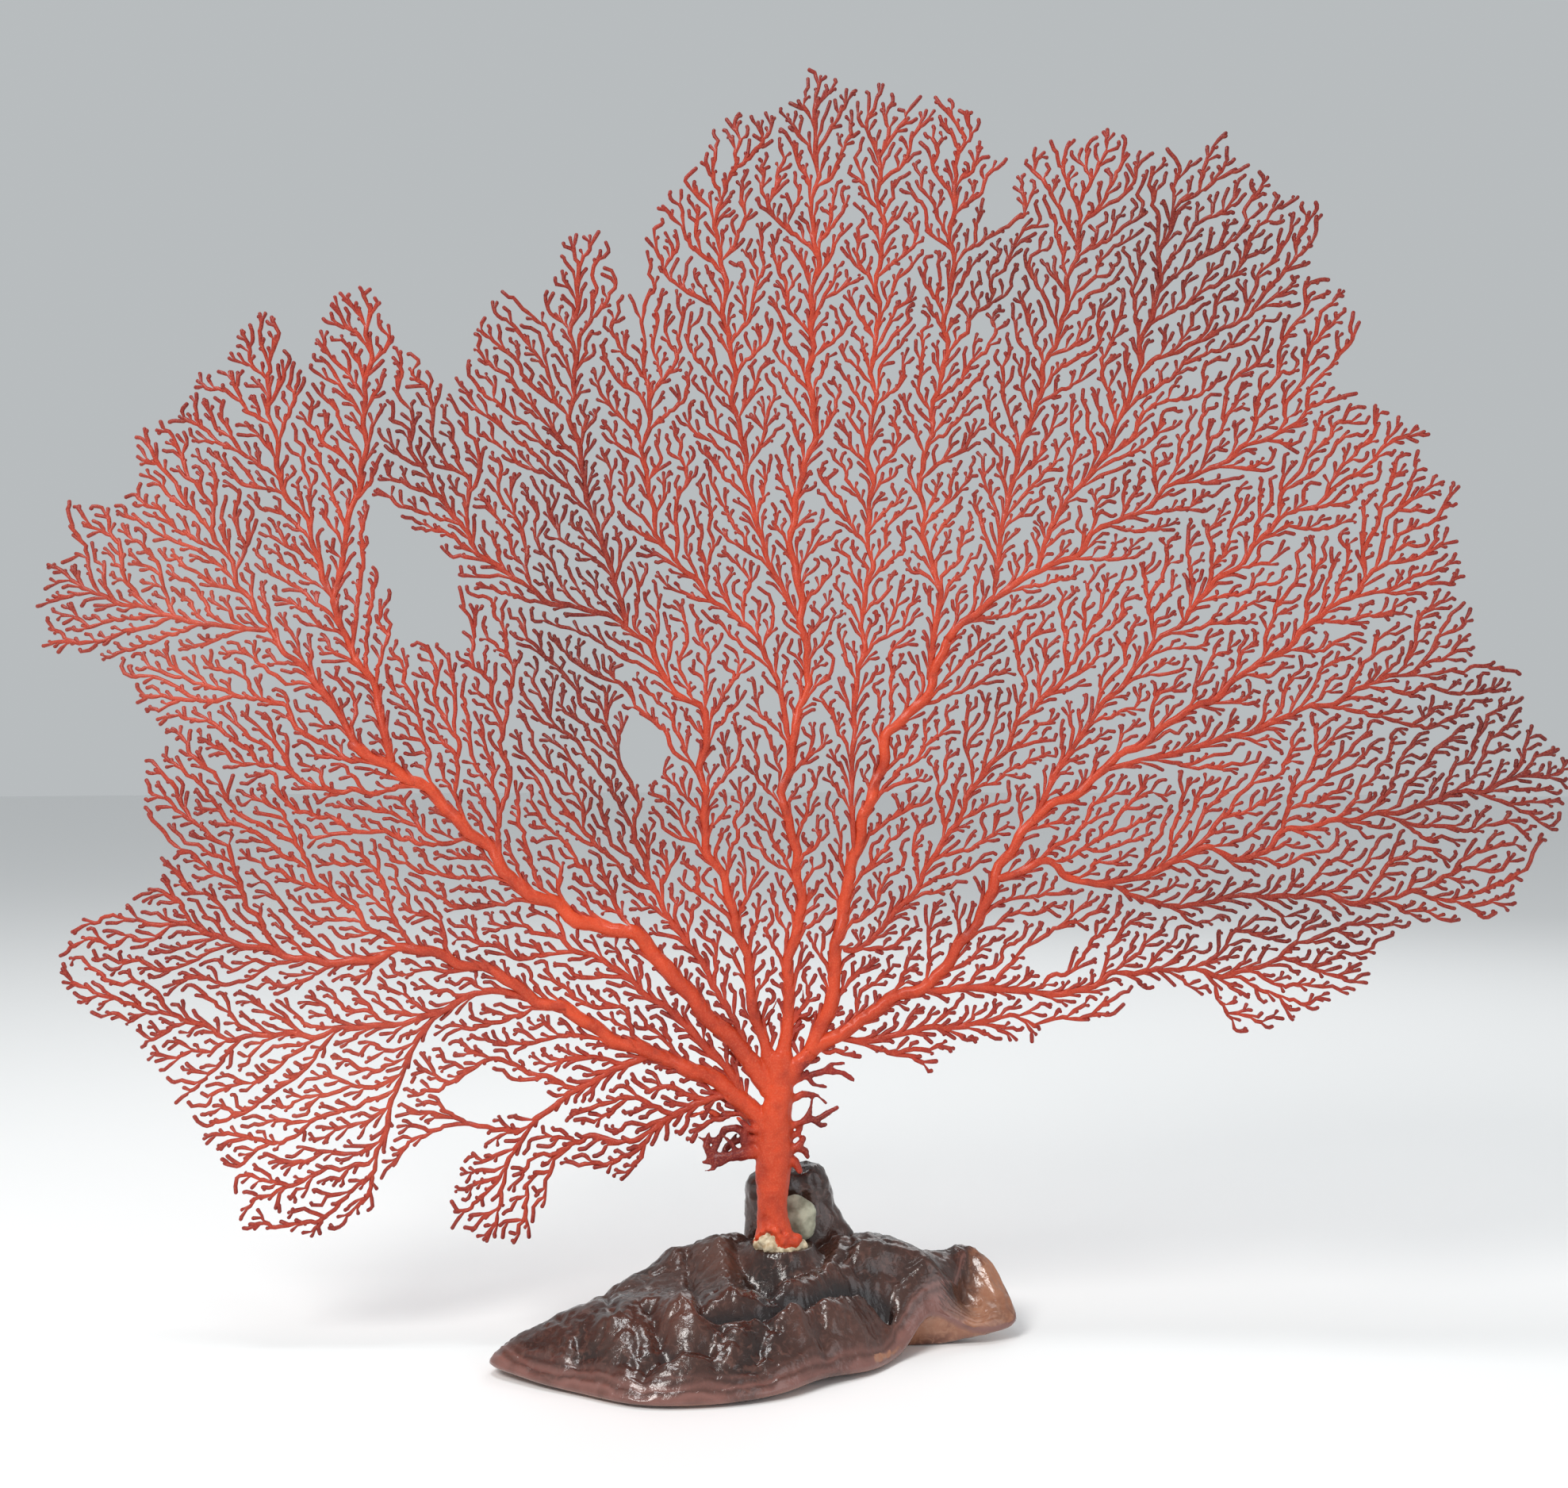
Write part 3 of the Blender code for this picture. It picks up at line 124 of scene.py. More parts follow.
# Limbs: name, piece, the line it leaves (None is the trunk), diameter at both ends, points from root to tip
LIMB_ROWS = [
    ("lower_left", "limb_lower_left", None, 6.4, 1.4, [
        (-3, 60), (-9, 67), (-14, 71), (-20, 75.5), (-28, 78.5), (-36, 81.5), (-44, 85), (-50, 88), (-60, 94),
        (-70, 99), (-80, 105), (-90, 108.5), (-100, 111), (-108, 111), (-116, 108), (-125, 107.5),
        (-133, 110), (-143, 111.5), (-150, 113), (-157, 117), (-175, 118)]),
    ("lower_left_fork", "limb_lower_left", "lower_left", 2.4, 1.3, [
        (-60, 94), (-80, 100), (-88, 97), (-95, 93), (-102, 92), (-112, 90), (-122, 89), (-132, 88),
        (-142, 87.5), (-152, 88), (-165, 92)]),
    ("lower_left_inner", "limb_lower_left", "lower_left", 3.2, 1.4, [
        (-9, 67), (-12, 73), (-16, 79), (-22, 85), (-28, 91), (-35, 97), (-43, 103), (-52, 109), (-62, 115)]),
    ("low_root", "limb_lower_left", "lower_left", 2.4, 1.4, [
        (-14, 71), (-20, 69), (-26, 67), (-31, 64), (-37, 59)]),
    ("drooping", "limb_lower_left", "lower_left_fork", 1.8, 1.3, [
        (-95, 93), (-101, 85), (-104, 77), (-107, 70), (-109, 62), (-112, 50)]),
    ("low_band", "limb_low_band", "lower_left", 2.6, 1.3, [
        (-36, 81.5), (-45, 78), (-52, 74), (-60, 70), (-67, 64), (-74, 55), (-80, 46)]),
    ("upper_left", "limb_upper_left", None, 5.8, 3.0, [
        (-3, 72), (-9, 80), (-14, 86.5), (-20, 92), (-26, 98.5), (-31, 105), (-36, 111), (-41, 114.5),
        (-48, 117), (-55, 119), (-62, 122.5), (-70, 127.5), (-78, 135.5), (-84, 142), (-90, 148.5),
        (-96, 153.5), (-102, 158), (-107, 162), (-112, 164), (-119, 166.5)]),
    ("upper_left_inner", "limb_upper_left", "upper_left", 2.6, 1.4, [
        (-9, 80), (-11, 87), (-15, 95), (-20, 103), (-25, 111), (-31, 120), (-38, 129)]),
    ("left_crown", "limb_left_crown", "upper_left", 2.6, 1.3, [
        (-107, 162), (-108, 168), (-110, 175), (-112, 183), (-116, 189), (-119, 195), (-121, 200),
        (-124, 206), (-126, 212), (-127.5, 218), (-130, 225), (-134, 233), (-138, 240), (-140, 255),
        (-141, 270)]),
    ("crown_fork", "limb_left_crown", "left_crown", 1.9, 1.3, [
        (-124, 206), (-121, 220), (-120, 228), (-118, 234), (-116, 240), (-115, 250), (-114, 262),
        (-113, 275), (-112, 288)]),
    ("far_left", "limb_far_left", "upper_left", 2.3, 1.3, [
        (-116, 166), (-121, 175), (-127, 183), (-131, 189), (-137, 193), (-142, 199), (-146, 207),
        (-151, 212), (-154, 220), (-158, 228)]),
    ("far_left_reach", "limb_far_left", "far_left", 1.6, 1.3, [
        (-142, 199), (-160, 201), (-180, 206), (-201, 213)]),
    ("mid_left", "limb_mid_left", None, 3.4, 1.4, [
        (-2.5, 77), (-5, 86), (-7.5, 93), (-8.5, 100), (-9.5, 108), (-12, 117), (-15, 126), (-18, 134),
        (-21, 142), (-21.5, 152), (-21.5, 163), (-21, 174), (-25, 180), (-31, 184), (-34, 188), (-37, 195),
        (-43, 201), (-52, 204), (-62, 207), (-74, 213), (-86, 224), (-96, 238)]),
    ("mid_left_up", "limb_mid_left", "mid_left", 1.7, 1.3, [
        (-43, 201), (-47, 215), (-52, 230), (-56, 246), (-58, 262), (-57, 280), (-56, 300)]),
    ("centre", "limb_centre", None, 3.9, 1.4, [
        (-0.5, 77), (1.5, 87), (2, 95), (2, 105), (4, 115), (5.5, 125), (5, 133), (3, 141), (1, 149),
        (1.5, 157), (2.5, 165), (4, 173), (6.5, 178), (7, 190), (7, 198), (5.5, 205), (4.5, 213), (3.5, 222),
        (3, 232), (5, 240), (8, 248), (9, 262), (8, 276), (9, 290), (9.5, 305), (9, 320),
        (10, 335), (9.5, 348)]),
    ("centre_left", "limb_centre", "centre", 1.9, 1.3, [
        (2.5, 165), (0, 181), (-3, 190), (-6, 196), (-9, 200), (-13, 203), (-18, 208), (-24, 213),
        (-30, 219), (-36, 232), (-38, 250), (-36, 268)]),
    ("centre_up", "limb_centre", "centre", 1.7, 1.3, [
        (7, 198), (0, 212), (-6, 226), (-10, 245), (-13, 265), (-15, 285), (-17, 305), (-18, 322)]),
    ("right", "limb_right", None, 4.9, 1.5, [
        (-1, 71), (4, 78), (9, 83), (15, 86.5), (20, 90), (26, 93.5), (32, 97), (38, 100), (43, 103),
        (47, 107), (50, 111), (53, 117), (57, 123.5), (60, 130), (62, 136), (65, 141), (70, 146), (75, 150),
        (80, 153.5), (86, 157), (90, 160.5), (98, 167), (106, 172), (120, 181), (136, 192), (152, 205),
        (168, 218)]),
    ("right_up", "limb_right", "right", 1.8, 1.3, [
        (70, 146), (78, 162), (88, 176), (100, 190), (113, 204), (127, 218), (141, 232)]),
    ("right_low", "limb_right", "right", 1.7, 1.3, [
        (90, 160.5), (100, 163), (112, 166), (126, 170), (142, 176), (158, 182), (176, 189)]),
    ("right_centre", "limb_right_centre", "right", 4.5, 2.7, [
        (8, 82), (11, 89), (13.5, 95), (14.5, 100), (15, 106), (15.5, 112), (16, 117), (18, 124),
        (19.5, 131), (20.5, 138), (21.5, 143), (24, 149), (26, 154), (27.5, 160), (28, 165), (30, 170),
        (34, 174), (38, 178), (42, 185), (45, 191), (47, 197)]),
    ("right_centre_left", "limb_right_centre", "right_centre", 1.7, 1.3, [
        (20.5, 138), (19.5, 150), (20, 160), (20, 170), (21, 180), (23, 200), (25, 222), (25, 245),
        (26, 268), (27, 290), (28, 312), (27, 334)]),
    ("right_centre_side", "limb_right_centre", "right_centre", 1.8, 1.3, [
        (15.5, 112), (20, 110.5), (26, 114), (30, 119), (37, 127), (45, 140), (52, 152), (60, 164),
        (70, 177), (82, 190)]),
    ("top_right", "limb_top_right", "right_centre", 2.0, 1.3, [
        (41.5, 185), (42.5, 194), (43.5, 201), (44.5, 208), (44, 214), (42.5, 220), (40, 227), (40, 235),
        (40, 243), (41, 252), (45, 270), (47, 290), (48, 310), (48, 330)]),
    ("upper_right", "limb_upper_right", "right_centre", 2.6, 1.3, [
        (47, 197), (50, 201), (55, 204), (60, 209), (66, 212.5), (72, 216), (78, 219), (84, 222), (90, 228),
        (100, 233), (112, 241), (130, 250), (145, 258)]),
    ("upper_right_fork", "limb_upper_right", "upper_right", 1.7, 1.3, [
        (72, 216), (76, 229), (80, 235), (88, 245), (95, 258), (100, 275), (105, 300), (108, 316)]),
    ("upper_right_inner", "limb_upper_right", "upper_right", 1.6, 1.3, [
        (60, 209), (62, 226), (66, 245), (72, 265), (78, 285), (82, 305), (83, 320)]),
    ("right_reach", "limb_right_reach", "right", 2.5, 1.4, [
        (60, 130), (66, 132), (72, 135), (76, 134), (79, 131), (85, 129.5), (92, 129), (98, 130), (104, 133),
        (111, 137), (118, 138), (126, 136.5), (132, 138), (137, 142), (142, 144), (150, 147), (160, 147),
        (170, 150), (190, 155), (205, 160)]),
    ("right_reach_low", "limb_right_reach", "right_reach", 1.7, 1.3, [
        (92, 129), (99, 125), (108, 123), (118, 124), (130, 126), (144, 126), (158, 125), (176, 127)]),
    ("lower_right", "limb_lower_right", "right", 2.5, 1.3, [
        (38, 100), (44, 99), (50, 100), (58, 100), (66, 99), (73, 98.5), (80, 99), (88, 101), (94, 104.5),
        (104, 105.5), (110, 105), (118, 104.5), (125, 105), (138, 108)]),
    ("right_fringe", "limb_right_fringe", "right", 2.1, 1.3, [
        (15, 86.5), (22, 85), (28, 86), (34, 87.5), (42, 88.5), (50, 89.5), (57, 90.5), (63, 91.5),
        (72, 90)])]
Limb = namedtuple("Limb", "name piece host start end points")
LIMBS = [Limb(*row) for row in LIMB_ROWS]

# Edge of the fan, through the ends of its twigs, from the trunk's left side over the top to its right side
OUTLINE = [
    (-8, 53), (-20, 52), (-30, 58), (-38, 52), (-45, 44), (-49, 52), (-60, 50), (-60, 38), (-72, 29),
    (-83, 30), (-90, 34), (-89, 50), (-82, 58), (-80, 70), (-88, 68), (-94, 56), (-104, 48), (-111, 41),
    (-119, 36), (-127, 31), (-136, 33), (-138, 44), (-143, 33), (-149, 34), (-151, 52), (-158, 56),
    (-164, 72), (-174, 79), (-176, 89), (-190, 93), (-199, 102), (-195, 114), (-188, 120), (-175, 125),
    (-162, 124), (-170, 131), (-165, 142), (-175, 151), (-175, 163), (-166, 168), (-177, 176), (-180, 186),
    (-192, 192), (-205, 190), (-207, 202), (-207, 218), (-192, 222), (-200, 235), (-188, 234), (-178, 238),
    (-181, 254), (-166, 259), (-161, 270), (-150, 270), (-149, 283), (-138, 286), (-134, 272), (-128, 273),
    (-123, 289), (-111, 292), (-106, 279), (-96, 268), (-88, 264), (-84, 280), (-78, 289), (-66, 284),
    (-62, 296), (-58, 308), (-49, 308), (-43, 290), (-41, 276), (-36, 285), (-38, 306), (-30, 319),
    (-22, 327), (-18, 338), (-8, 342), (4, 346), (9, 358), (16, 350), (30, 352), (35, 340), (42, 348),
    (53, 344), (58, 330), (57, 314), (60, 309), (68, 309), (64, 324), (70, 333), (78, 333), (84, 334),
    (90, 338), (97, 331), (104, 330), (111, 322), (116, 330), (121, 336), (124, 326), (134, 318),
    (147, 312), (143, 296), (153, 290), (157, 279), (150, 267), (160, 260), (176, 255), (177, 243),
    (188, 238), (183, 226), (188, 213), (191, 200), (189, 189), (198, 189), (203, 180), (205, 171),
    (217, 163), (213, 150), (208, 140), (201, 132), (199, 122), (184, 119), (172, 119), (162, 113),
    (159, 101), (149, 96), (138, 92), (128, 87), (112, 92), (104, 103), (96, 96), (86, 90), (76, 92),
    (68, 83), (57, 86), (50, 82), (40, 76), (31, 73), (24, 79), (12, 82), (5, 74), (4, 62)]

# Gaps in the fan
HOLES = [
    [(-113, 230), (-108, 236), (-103, 228), (-95, 222), (-90, 218), (-88, 208), (-85, 195), (-77, 188),
     (-64, 178), (-60, 172), (-70, 183), (-80, 190), (-90, 196), (-107, 195), (-108, 210), (-114, 221)],
    [(-48, 163), (-42, 169), (-31, 170), (-32, 158), (-38, 155), (-45, 160)],
    [(-160, 99), (-151, 98), (-151, 93), (-160, 93)],
    [(67, 113), (79, 115), (80, 106), (69, 103)],
    [(-91, 62), (-84, 78), (-66, 74), (-60, 66), (-60, 60), (-72, 66)],
    [(-22, 44), (-22, 61), (-8, 64), (-6, 76), (2, 76), (3, 44)],
]

# Painted shade darkens (1) and painted light pales (-1) lobes in the fan's plane: x, z, reach along x and z,
# tone
SHADE_AND_LIGHT_PATCHES = [
    (-100, 250, 13, 16, 1.3), (-58, 190, 14, 32, 1.2), (-60, 240, 20, 40, 0.9), (-45, 150, 9, 20, 1.0),
    (10, 345, 24, 16, 0.9), (115, 300, 42, 34, 0.95), (60, 300, 12, 16, 1.0), (190, 165, 36, 42, 1.2),
    (135, 118, 30, 13, 1.1), (60, 180, 10, 12, 0.5), (-15, 57, 9, 9, 1.2), (9, 60, 7, 12, 0.9),
    (-12, 84, 9, 12, 0.5),
    (-170, 205, 40, 34, -0.8), (-120, 75, 50, 30, -0.7), (-110, 130, 40, 22, -0.3), (60, 230, 40, 25, -0.3)]

# Slow waves that carry the fan's sheet forward and back, in mm for each mm from the root, and its ripple
WAVE_ACROSS, WAVE_ACROSS_RATE, WAVE_PHASE = 0.032, 0.021, 0.9
WAVE_UP, WAVE_UP_RATE = 0.022, 0.028
WAVE_FADE = 60.0
WOBBLE, WOBBLE_SIZE, WOBBLE_FADE = 2.2, 9.0, 30.0

# Trunk: height, centre x, half width along x and y, in mm
TRUNK_LEVELS = [
    (28.6, -1.2, 6.6, 5.0), (30.0, -1.5, 6.2, 4.9), (32.0, -1.9, 5.4, 4.5), (34.5, -2.2, 4.6, 4.1),
    (38.0, -2.3, 4.2, 4.0), (42.0, -2.3, 4.3, 4.0), (46.0, -2.3, 4.6, 4.1), (50.0, -2.2, 4.9, 4.3),
    (55.0, -2.0, 5.1, 4.5), (60.0, -1.8, 4.9, 4.5), (66.0, -1.2, 4.3, 4.3), (71.0, -0.6, 3.9, 4.0),
    (75.0, -0.4, 3.8, 3.9), (79.0, -0.5, 3.7, 3.5), (82.0, -0.3, 3.1, 2.9)]
TRUNK_SIDES, TRUNK_PITCH = 40, 1.5
STUB_TAPER, STUB_PITCH = 0.42, 0.7
LIMB_SLEEVE, SLEEVE_PITCH = 15.0, 1.2
SLEEVE_EXTRA, SLEEVE_FADE = 0.5, 1.3
# Skins of the trunk and its bare core: voxel in mm and rounds of smoothing, then noise height and size in mm
TRUNK_VOXEL, TRUNK_SMOOTHING = 0.42, 5
TRUNK_GRAIN = [(0.5, 6.0), (0.25, 2.2), (0.10, 0.9)]
CORE_VOXEL, CORE_SMOOTHING = 0.35, 3
CORE_GRAIN = [(0.5, 1.6), (0.2, 0.7)]
# Dark stubs: how dark, over what distance from the trunk, and between which heights on its two sides
STUB_TONE, STUB_TONE_FADE = 0.9, 5
STUB_TONE_FROM, STUB_TONE_LEFT, STUB_TONE_RIGHT = 44, 64, 80
# Stubby growths on the trunk: radius at the root, and points (x, y, z) from the trunk's middle to the tip
TRUNK_STUBS = [
    (2.2, [(-4, 0, 55), (-9, -1, 54.6), (-14, -1.5, 53.5), (-19.5, -1, 53)]),
    (1.5, [(-4, 0, 58), (-9, -1, 58.5), (-12.5, -1, 61.5), (-15.5, -1, 61), (-17.5, 0, 57.5),
           (-19, -1, 54.5)]),
    (1.3, [(-9, -1, 55), (-10.5, -2, 57.5), (-10, -2.5, 60.5)]),
    (1.1, [(-19.5, -1, 53), (-20.8, -1, 56.5), (-20, 0, 59.5)]),
    (1.1, [(-4, -1, 60), (-9, -3, 61.5), (-12, -3, 64.5)]),
    (1.2, [(-14, -1.5, 53.5), (-17, -2, 51.6), (-21.5, -1, 51.8)]),
    (1.1, [(-4, 1, 62), (-11, 1, 65), (-17, 1, 64), (-22, 1, 61.5)]),
    (1.0, [(-17, 1, 64), (-20, 0, 66), (-25, 0, 64.5)]),
    (1.1, [(-12, -1, 54), (-13.5, -2, 57), (-15.3, -2, 58.7)]),
    (1.0, [(-16, 0, 53.5), (-15.4, 1, 56), (-12.6, 1, 59)]),
    (1.0, [(-9, 0, 59), (-12.4, 1, 57), (-14.2, 1, 55)]),
    (0.9, [(-18, -2, 53), (-18.6, -3, 50.4), (-21, -3, 49.9)]),
    (0.9, [(-17, 0, 58), (-20.4, 0, 57.4), (-23, 0, 58.6)]),
    (1.0, [(-9, 1, 62.5), (-13, 2, 67), (-17.5, 2, 69)]),
    (0.9, [(-13, 2, 67), (-12.5, 2, 70.5), (-15.5, 2, 73.5), (-20, 2, 75)]),
    (0.9, [(-15.5, 2, 73.5), (-17, 2, 71.5), (-20.5, 2, 71)]),
    (0.9, [(-8, 2, 79), (-11.5, 3, 78), (-13.5, 3, 81), (-17.5, 3, 83)]),
    (0.8, [(-13.5, 3, 81), (-12.6, 3, 84), (-14.6, 3, 87.5)]),
    (0.8, [(-4, 2, 84), (-6.2, 3, 87.5), (-5.6, 3, 91), (-6.6, 3, 94)]),
    (0.8, [(-6.2, 3, 87.5), (-3.6, 3, 89.5), (-2.6, 3, 93), (-1, 3, 96.5)]),
    (0.8, [(3, 2, 84), (4.8, 3, 88), (4.6, 3, 92), (6.4, 3, 95.5), (6, 3, 99)]),
    (0.8, [(4.6, 3, 92), (7.8, 3, 90.6), (9.8, 3, 93)]),
    (1.6, [(1, 0, 53), (3.8, -1, 52), (5.2, -1, 49.5)]),
    (1.5, [(1, 0, 55), (4.5, -1, 56), (6.2, -1, 58.5)]),
    (1.3, [(4.5, -1, 56), (6.6, 0, 54.8), (7.4, 0, 53)]),
    (1.2, [(1, 0, 57), (4.5, 0, 59.5), (5.6, 0, 61.5)]),
    (1.2, [(1, 0, 61), (6, -1, 63), (10, -1, 63.8), (15.5, -1, 67)]),
    (1.0, [(9, -1, 63.6), (11, -1, 61.8), (12.5, -1, 62.4)]),
    (1.0, [(6, -1, 63), (8, 0, 65.5), (8.6, 0, 69)]),
    (1.1, [(1, 0, 68), (6, 0, 70.5), (10, 0, 70.2), (12.5, 0, 68)]),
    (1.1, [(2, 0, 73), (7, 0, 75.5), (12, 0, 77), (17, 0, 76.5), (20, 0, 74.5)]),
    (0.9, [(12, 0, 77), (14, 0, 79), (17.5, 0, 79)]),
    (0.9, [(7, 0, 75.5), (9, 0, 73), (12.5, 0, 72.5)])]
# Torn rind round the foot: centre and radius of each lump, in mm
FOOT_RIND = [
    ((-6.6, -1.6, 30.0), 1.3), ((-6.2, -2.8, 31.6), 1.2), ((-5.2, -3.6, 33.2), 1.1),
    ((-3.4, -4.2, 34.2), 1.1),
    ((-1.4, -4.4, 33.6), 1.2), ((-0.4, -4.6, 32.0), 1.1), ((0.2, -4.7, 30.6), 1.0), ((3.6, -2.4, 30.0), 1.5),
    ((4.4, -1.0, 30.8), 1.4), ((2.4, -3.6, 30.4), 1.2), ((4.8, 0.6, 29.8), 1.4), ((1.6, -3.9, 32.2), 1.1)]
# Bared pale core of the foot, inside the torn rind
FOOT_CORE = [((-4.0, -2.6, 30.4), 2.6), ((-2.6, -3.0, 29.6), 2.8), ((-0.6, -2.9, 29.2), 2.6),
             ((1.6, -2.6, 28.9), 2.4), ((3.6, -1.6, 28.7), 2.2), ((-5.6, -1.2, 29.4), 2.2),
             ((-3.6, -2.6, 32.0), 2.0), ((5.6, 0.4, 28.6), 1.8), ((-2.2, -3.0, 31.6), 1.8)]

# Lacquered base: plan of its rim, and where the rim lifts off the table (x, y, height, reach)
BASE_MIDDLE = (0.0, 3.5)
BASE_RIM = [
    (-77, -21), (-66, -30.5), (-53, -38), (-36, -47), (-18, -47), (0, -41), (12, -31), (24, -22), (33, -10),
    (43, 0), (58, 4), (66, 10), (60, 20), (46, 26), (28, 30), (8, 33), (-12, 32), (-32, 26), (-48, 16),
    (-62, 2), (-72, -10)]
RIM_STEPS = 24
BASE_BODY_HEIGHT = 16.0
BASE_DOME = (3.0, 0.8)
RIM_THICKNESS = 2.0
RIM_FLOOR = 0.6
RIM_LIFTS = [(60, 24, 12, 13), (42, -2, 8, 9), (48, 28, 11, 16), (-77, -21, 1.5, 18), (10, -33, 1.5, 16)]
# Large swellings of its top (x, y, height, reach along x and y, turn in degrees)
BASE_LUMPS = [
    (-30, -24, 6, 20, 12, 12), (4, -20, 7, 17, 10, 35), (-52, -20, 4, 13, 9, 10), (-28, 10, 8, 20, 11, -12),
    (16, -6, 4, 11, 9, 30), (32, 8, 7, 14, 12, 20), (18, 16, 9, 16, 12, 0), (-12, 12, 7, 12, 10, 0),
    (-45, 2, 4, 12, 8, 20), (55, 11, -9, 9, 9, 0)]
# Bulges, ridges and creases of its top as the camera sees them: height, half width, and points across the
# picture in mm of the trunk's plane
BASE_FEATURES = [
    (3.0, 5.0, [(-48, 4), (-46, 1)]),
    (3.2, 5.0, [(-28, 10), (-25, 5)]),
    (2.6, 4.0, [(-30, -6), (-24, -6)]),
    (2.8, 2.8, [(4, 10), (5, 6), (9, -1), (7, -7)]),
    (3.0, 4.4, [(15, 7), (20, 6)]),
    (2.2, 3.0, [(-17, 26), (-16, 21), (-14, 15)]),
    (2.4, 7.0, [(-21, 24), (-16, 22)]),
    (2.0, 3.0, [(-40, 23), (-30, 25)]),
    (2.4, 3.6, [(22, 26), (26, 25)]),
    (2.0, 2.2, [(13, 22), (16, 29)]),
    (1.6, 3.0, [(36, 12), (43, 17)]),
    (1.6, 2.6, [(-57, 4), (-60, -2)]),
    (1.8, 3.0, [(-12, 3), (-14, -4)]),
    (1.4, 2.5, [(-44, -8), (-38, -10)]),
    (-4.6, 2.0, [(-21, 10), (-12, 11), (-3, 13), (5, 15.5), (13, 17.5), (20, 19), (25, 16), (29, 13)]),
    (-3.6, 3.4, [(-5, 22), (-3, 17), (3, 16.5)]),
    (-3.0, 2.6, [(25, 17), (29, 13)]),
    (-2.6, 2.0, [(-36, 12), (-34, 5), (-31, -2)]),
    (-2.4, 1.7, [(-39, -13), (-37, -5), (-31, -1), (-20, -1)]),
    (-2.0, 1.9, [(-4, -11), (-8, -4), (-5, 4), (-4, 9)]),
    (-1.6, 1.6, [(13, -6), (12, 1), (11, 10)]),
    (-1.8, 1.8, [(29, -4), (27, 4), (29, 10)]),
    (-1.2, 1.3, [(-61, 9), (-56, 2), (-56, -8)]),
    (-1.2, 1.2, [(-52, 14), (-47, 9), (-46, 13)]),
    (-2.0, 1.5, [(-26, 25), (-25, 18), (-22, 13)]),
    (-1.6, 1.2, [(21, 22), (27, 21), (36, 24)]),
    (-1.4, 0.8, [(-73, -1), (-67, -6), (-60, -10), (-52, -13), (-36, -14), (-20, -13.5), (-5, -12), (10, -8),
                 (22, -5), (31, -3)])]
# Edge of the near plate, beyond which the right wing lies lower: drop, softness, fading distance and line
WING_STEP = (5.5, 0.8, 22.0, [(34, -1), (38, 4), (43, 10), (47, 16), (50, 20), (51, 24)])
WING_FROM = 25
RIM_RINGS, RIM_RING_PITCH, RIM_RING_SHARE = 0.28, 2.1, 0.86
CREASE_DEPTH, CREASE_SIZE, CREASE_SHARPNESS = 0.9, 5.5, 5
FINE_CREASE, FINE_CREASE_SIZE = 0.35, 0.4
WRINKLES = [(0.5, 3.4), (0.28, 1.7), (0.12, 1.0)]
WING_FOLDS = (1.5, 5.0, 3)
EDGE_BAND = 3.2
TAN_REACH, TAN_TOP, TAN_FADE = 5.0, 34.0, 8.0
FOOT_HEIGHT = 28.0
FOOT_SEAT = 9.0
SEAT_EDGE = 3.5
# Powers by which the swellings and the small features fade towards the rim
SWELL_FADE, FEATURE_FADE = 4, 10
BASE_SIDES = 460
BASE_RINGS, RING_CROWDING = 104, 0.85
# Rows that round the rim: share of the way out, share of the rim's thickness, share of the underside's look
RIM_ROWS = [(1.006, 0.8, 0.0), (1.008, 0.45, 0.0), (1.0, 0.12, 0.4), (0.985, 0.0, 1.0)]
# Underside: how far in it reaches, its rings, how it curves, and its ripple's height, size and rim height
FOOT_SHARE = 0.8
UNDERCUT = 0.028
UNDER_START, UNDER_RINGS, UNDER_POWER = 0.985, 16, 1.3
UNDER_RIPPLE, UNDER_RIPPLE_SIZE, UNDER_RIPPLE_LIFT = 0.4, 3.0, 3
# Stalk of the base, behind the trunk: height, centre x and y, half width along x and y
STALK_LEVELS = [
    (8, 5.2, 17.5, 15.6, 7.5), (20, 5.2, 17.5, 15.6, 7.8), (27, 5.2, 18, 15.6, 8), (31, 4.1, 18, 14.5, 8),
    (35.6, 2.7, 18, 13.1, 7.8), (40, 1.9, 18, 12.2, 7.4), (43.5, 2.2, 18, 11.0, 6.8), (46, 4.6, 18, 7.6, 5.2),
    (47.2, 6.6, 18, 4.0, 3.2)]
STALK_DENTS = [(0.8, 7.0), (0.3, 2.6)]
STALK_SIDES, STALK_PITCH = 90, 0.9

# Stone behind the foot: centre and half sizes, then noise height and size, in mm
STONE_CENTRE = (3.4, 7.3, 33.9)
STONE_SIZE = (6.5, 2.2, 6.8)
STONE_GRAIN = [(0.7, 4.0), (0.25, 1.4), (0.08, 0.5)]

# Camera: where it stands, in mm, its lens in mm, and how its rays are followed back over the base
CAMERA_PLACE = (0.8, -520.0, 167.6)
CAMERA_LENS, CAMERA_SENSOR = 43.04, 36
RAY_FROM, RAY_TO, RAY_STEP = -60.0, 40, 0.25

# Studio lights: name, place and target in m, size in m, power in W, colour
LIGHTS = [
    ("key", (-0.55, -0.85, 0.95), (0, 0, 0.12), 0.5, 10.5, (1.0, 0.98, 0.95)),
    ("fill", (0.9, -0.8, 0.4), (0, 0, 0.15), 0.9, 2.5, (0.93, 0.96, 1.0)),
    ("back", (0.3, 0.9, 0.8), (0, 0, 0.15), 0.7, 2.0, (1.0, 1.0, 1.0)),
    ("window", (-0.25, -0.1, 1.25), (0, -0.02, 0.0), 0.34, 3.8, (0.97, 0.99, 1.0))]
WORLD_COLOUR, WORLD_STRENGTH = (0.80, 0.84, 0.86, 1), 0.6
FLOOR_COLOUR, FLOOR_RADIUS, FLOOR_DROP = (0.90, 0.90, 0.90, 1), 6.0, 0.0002


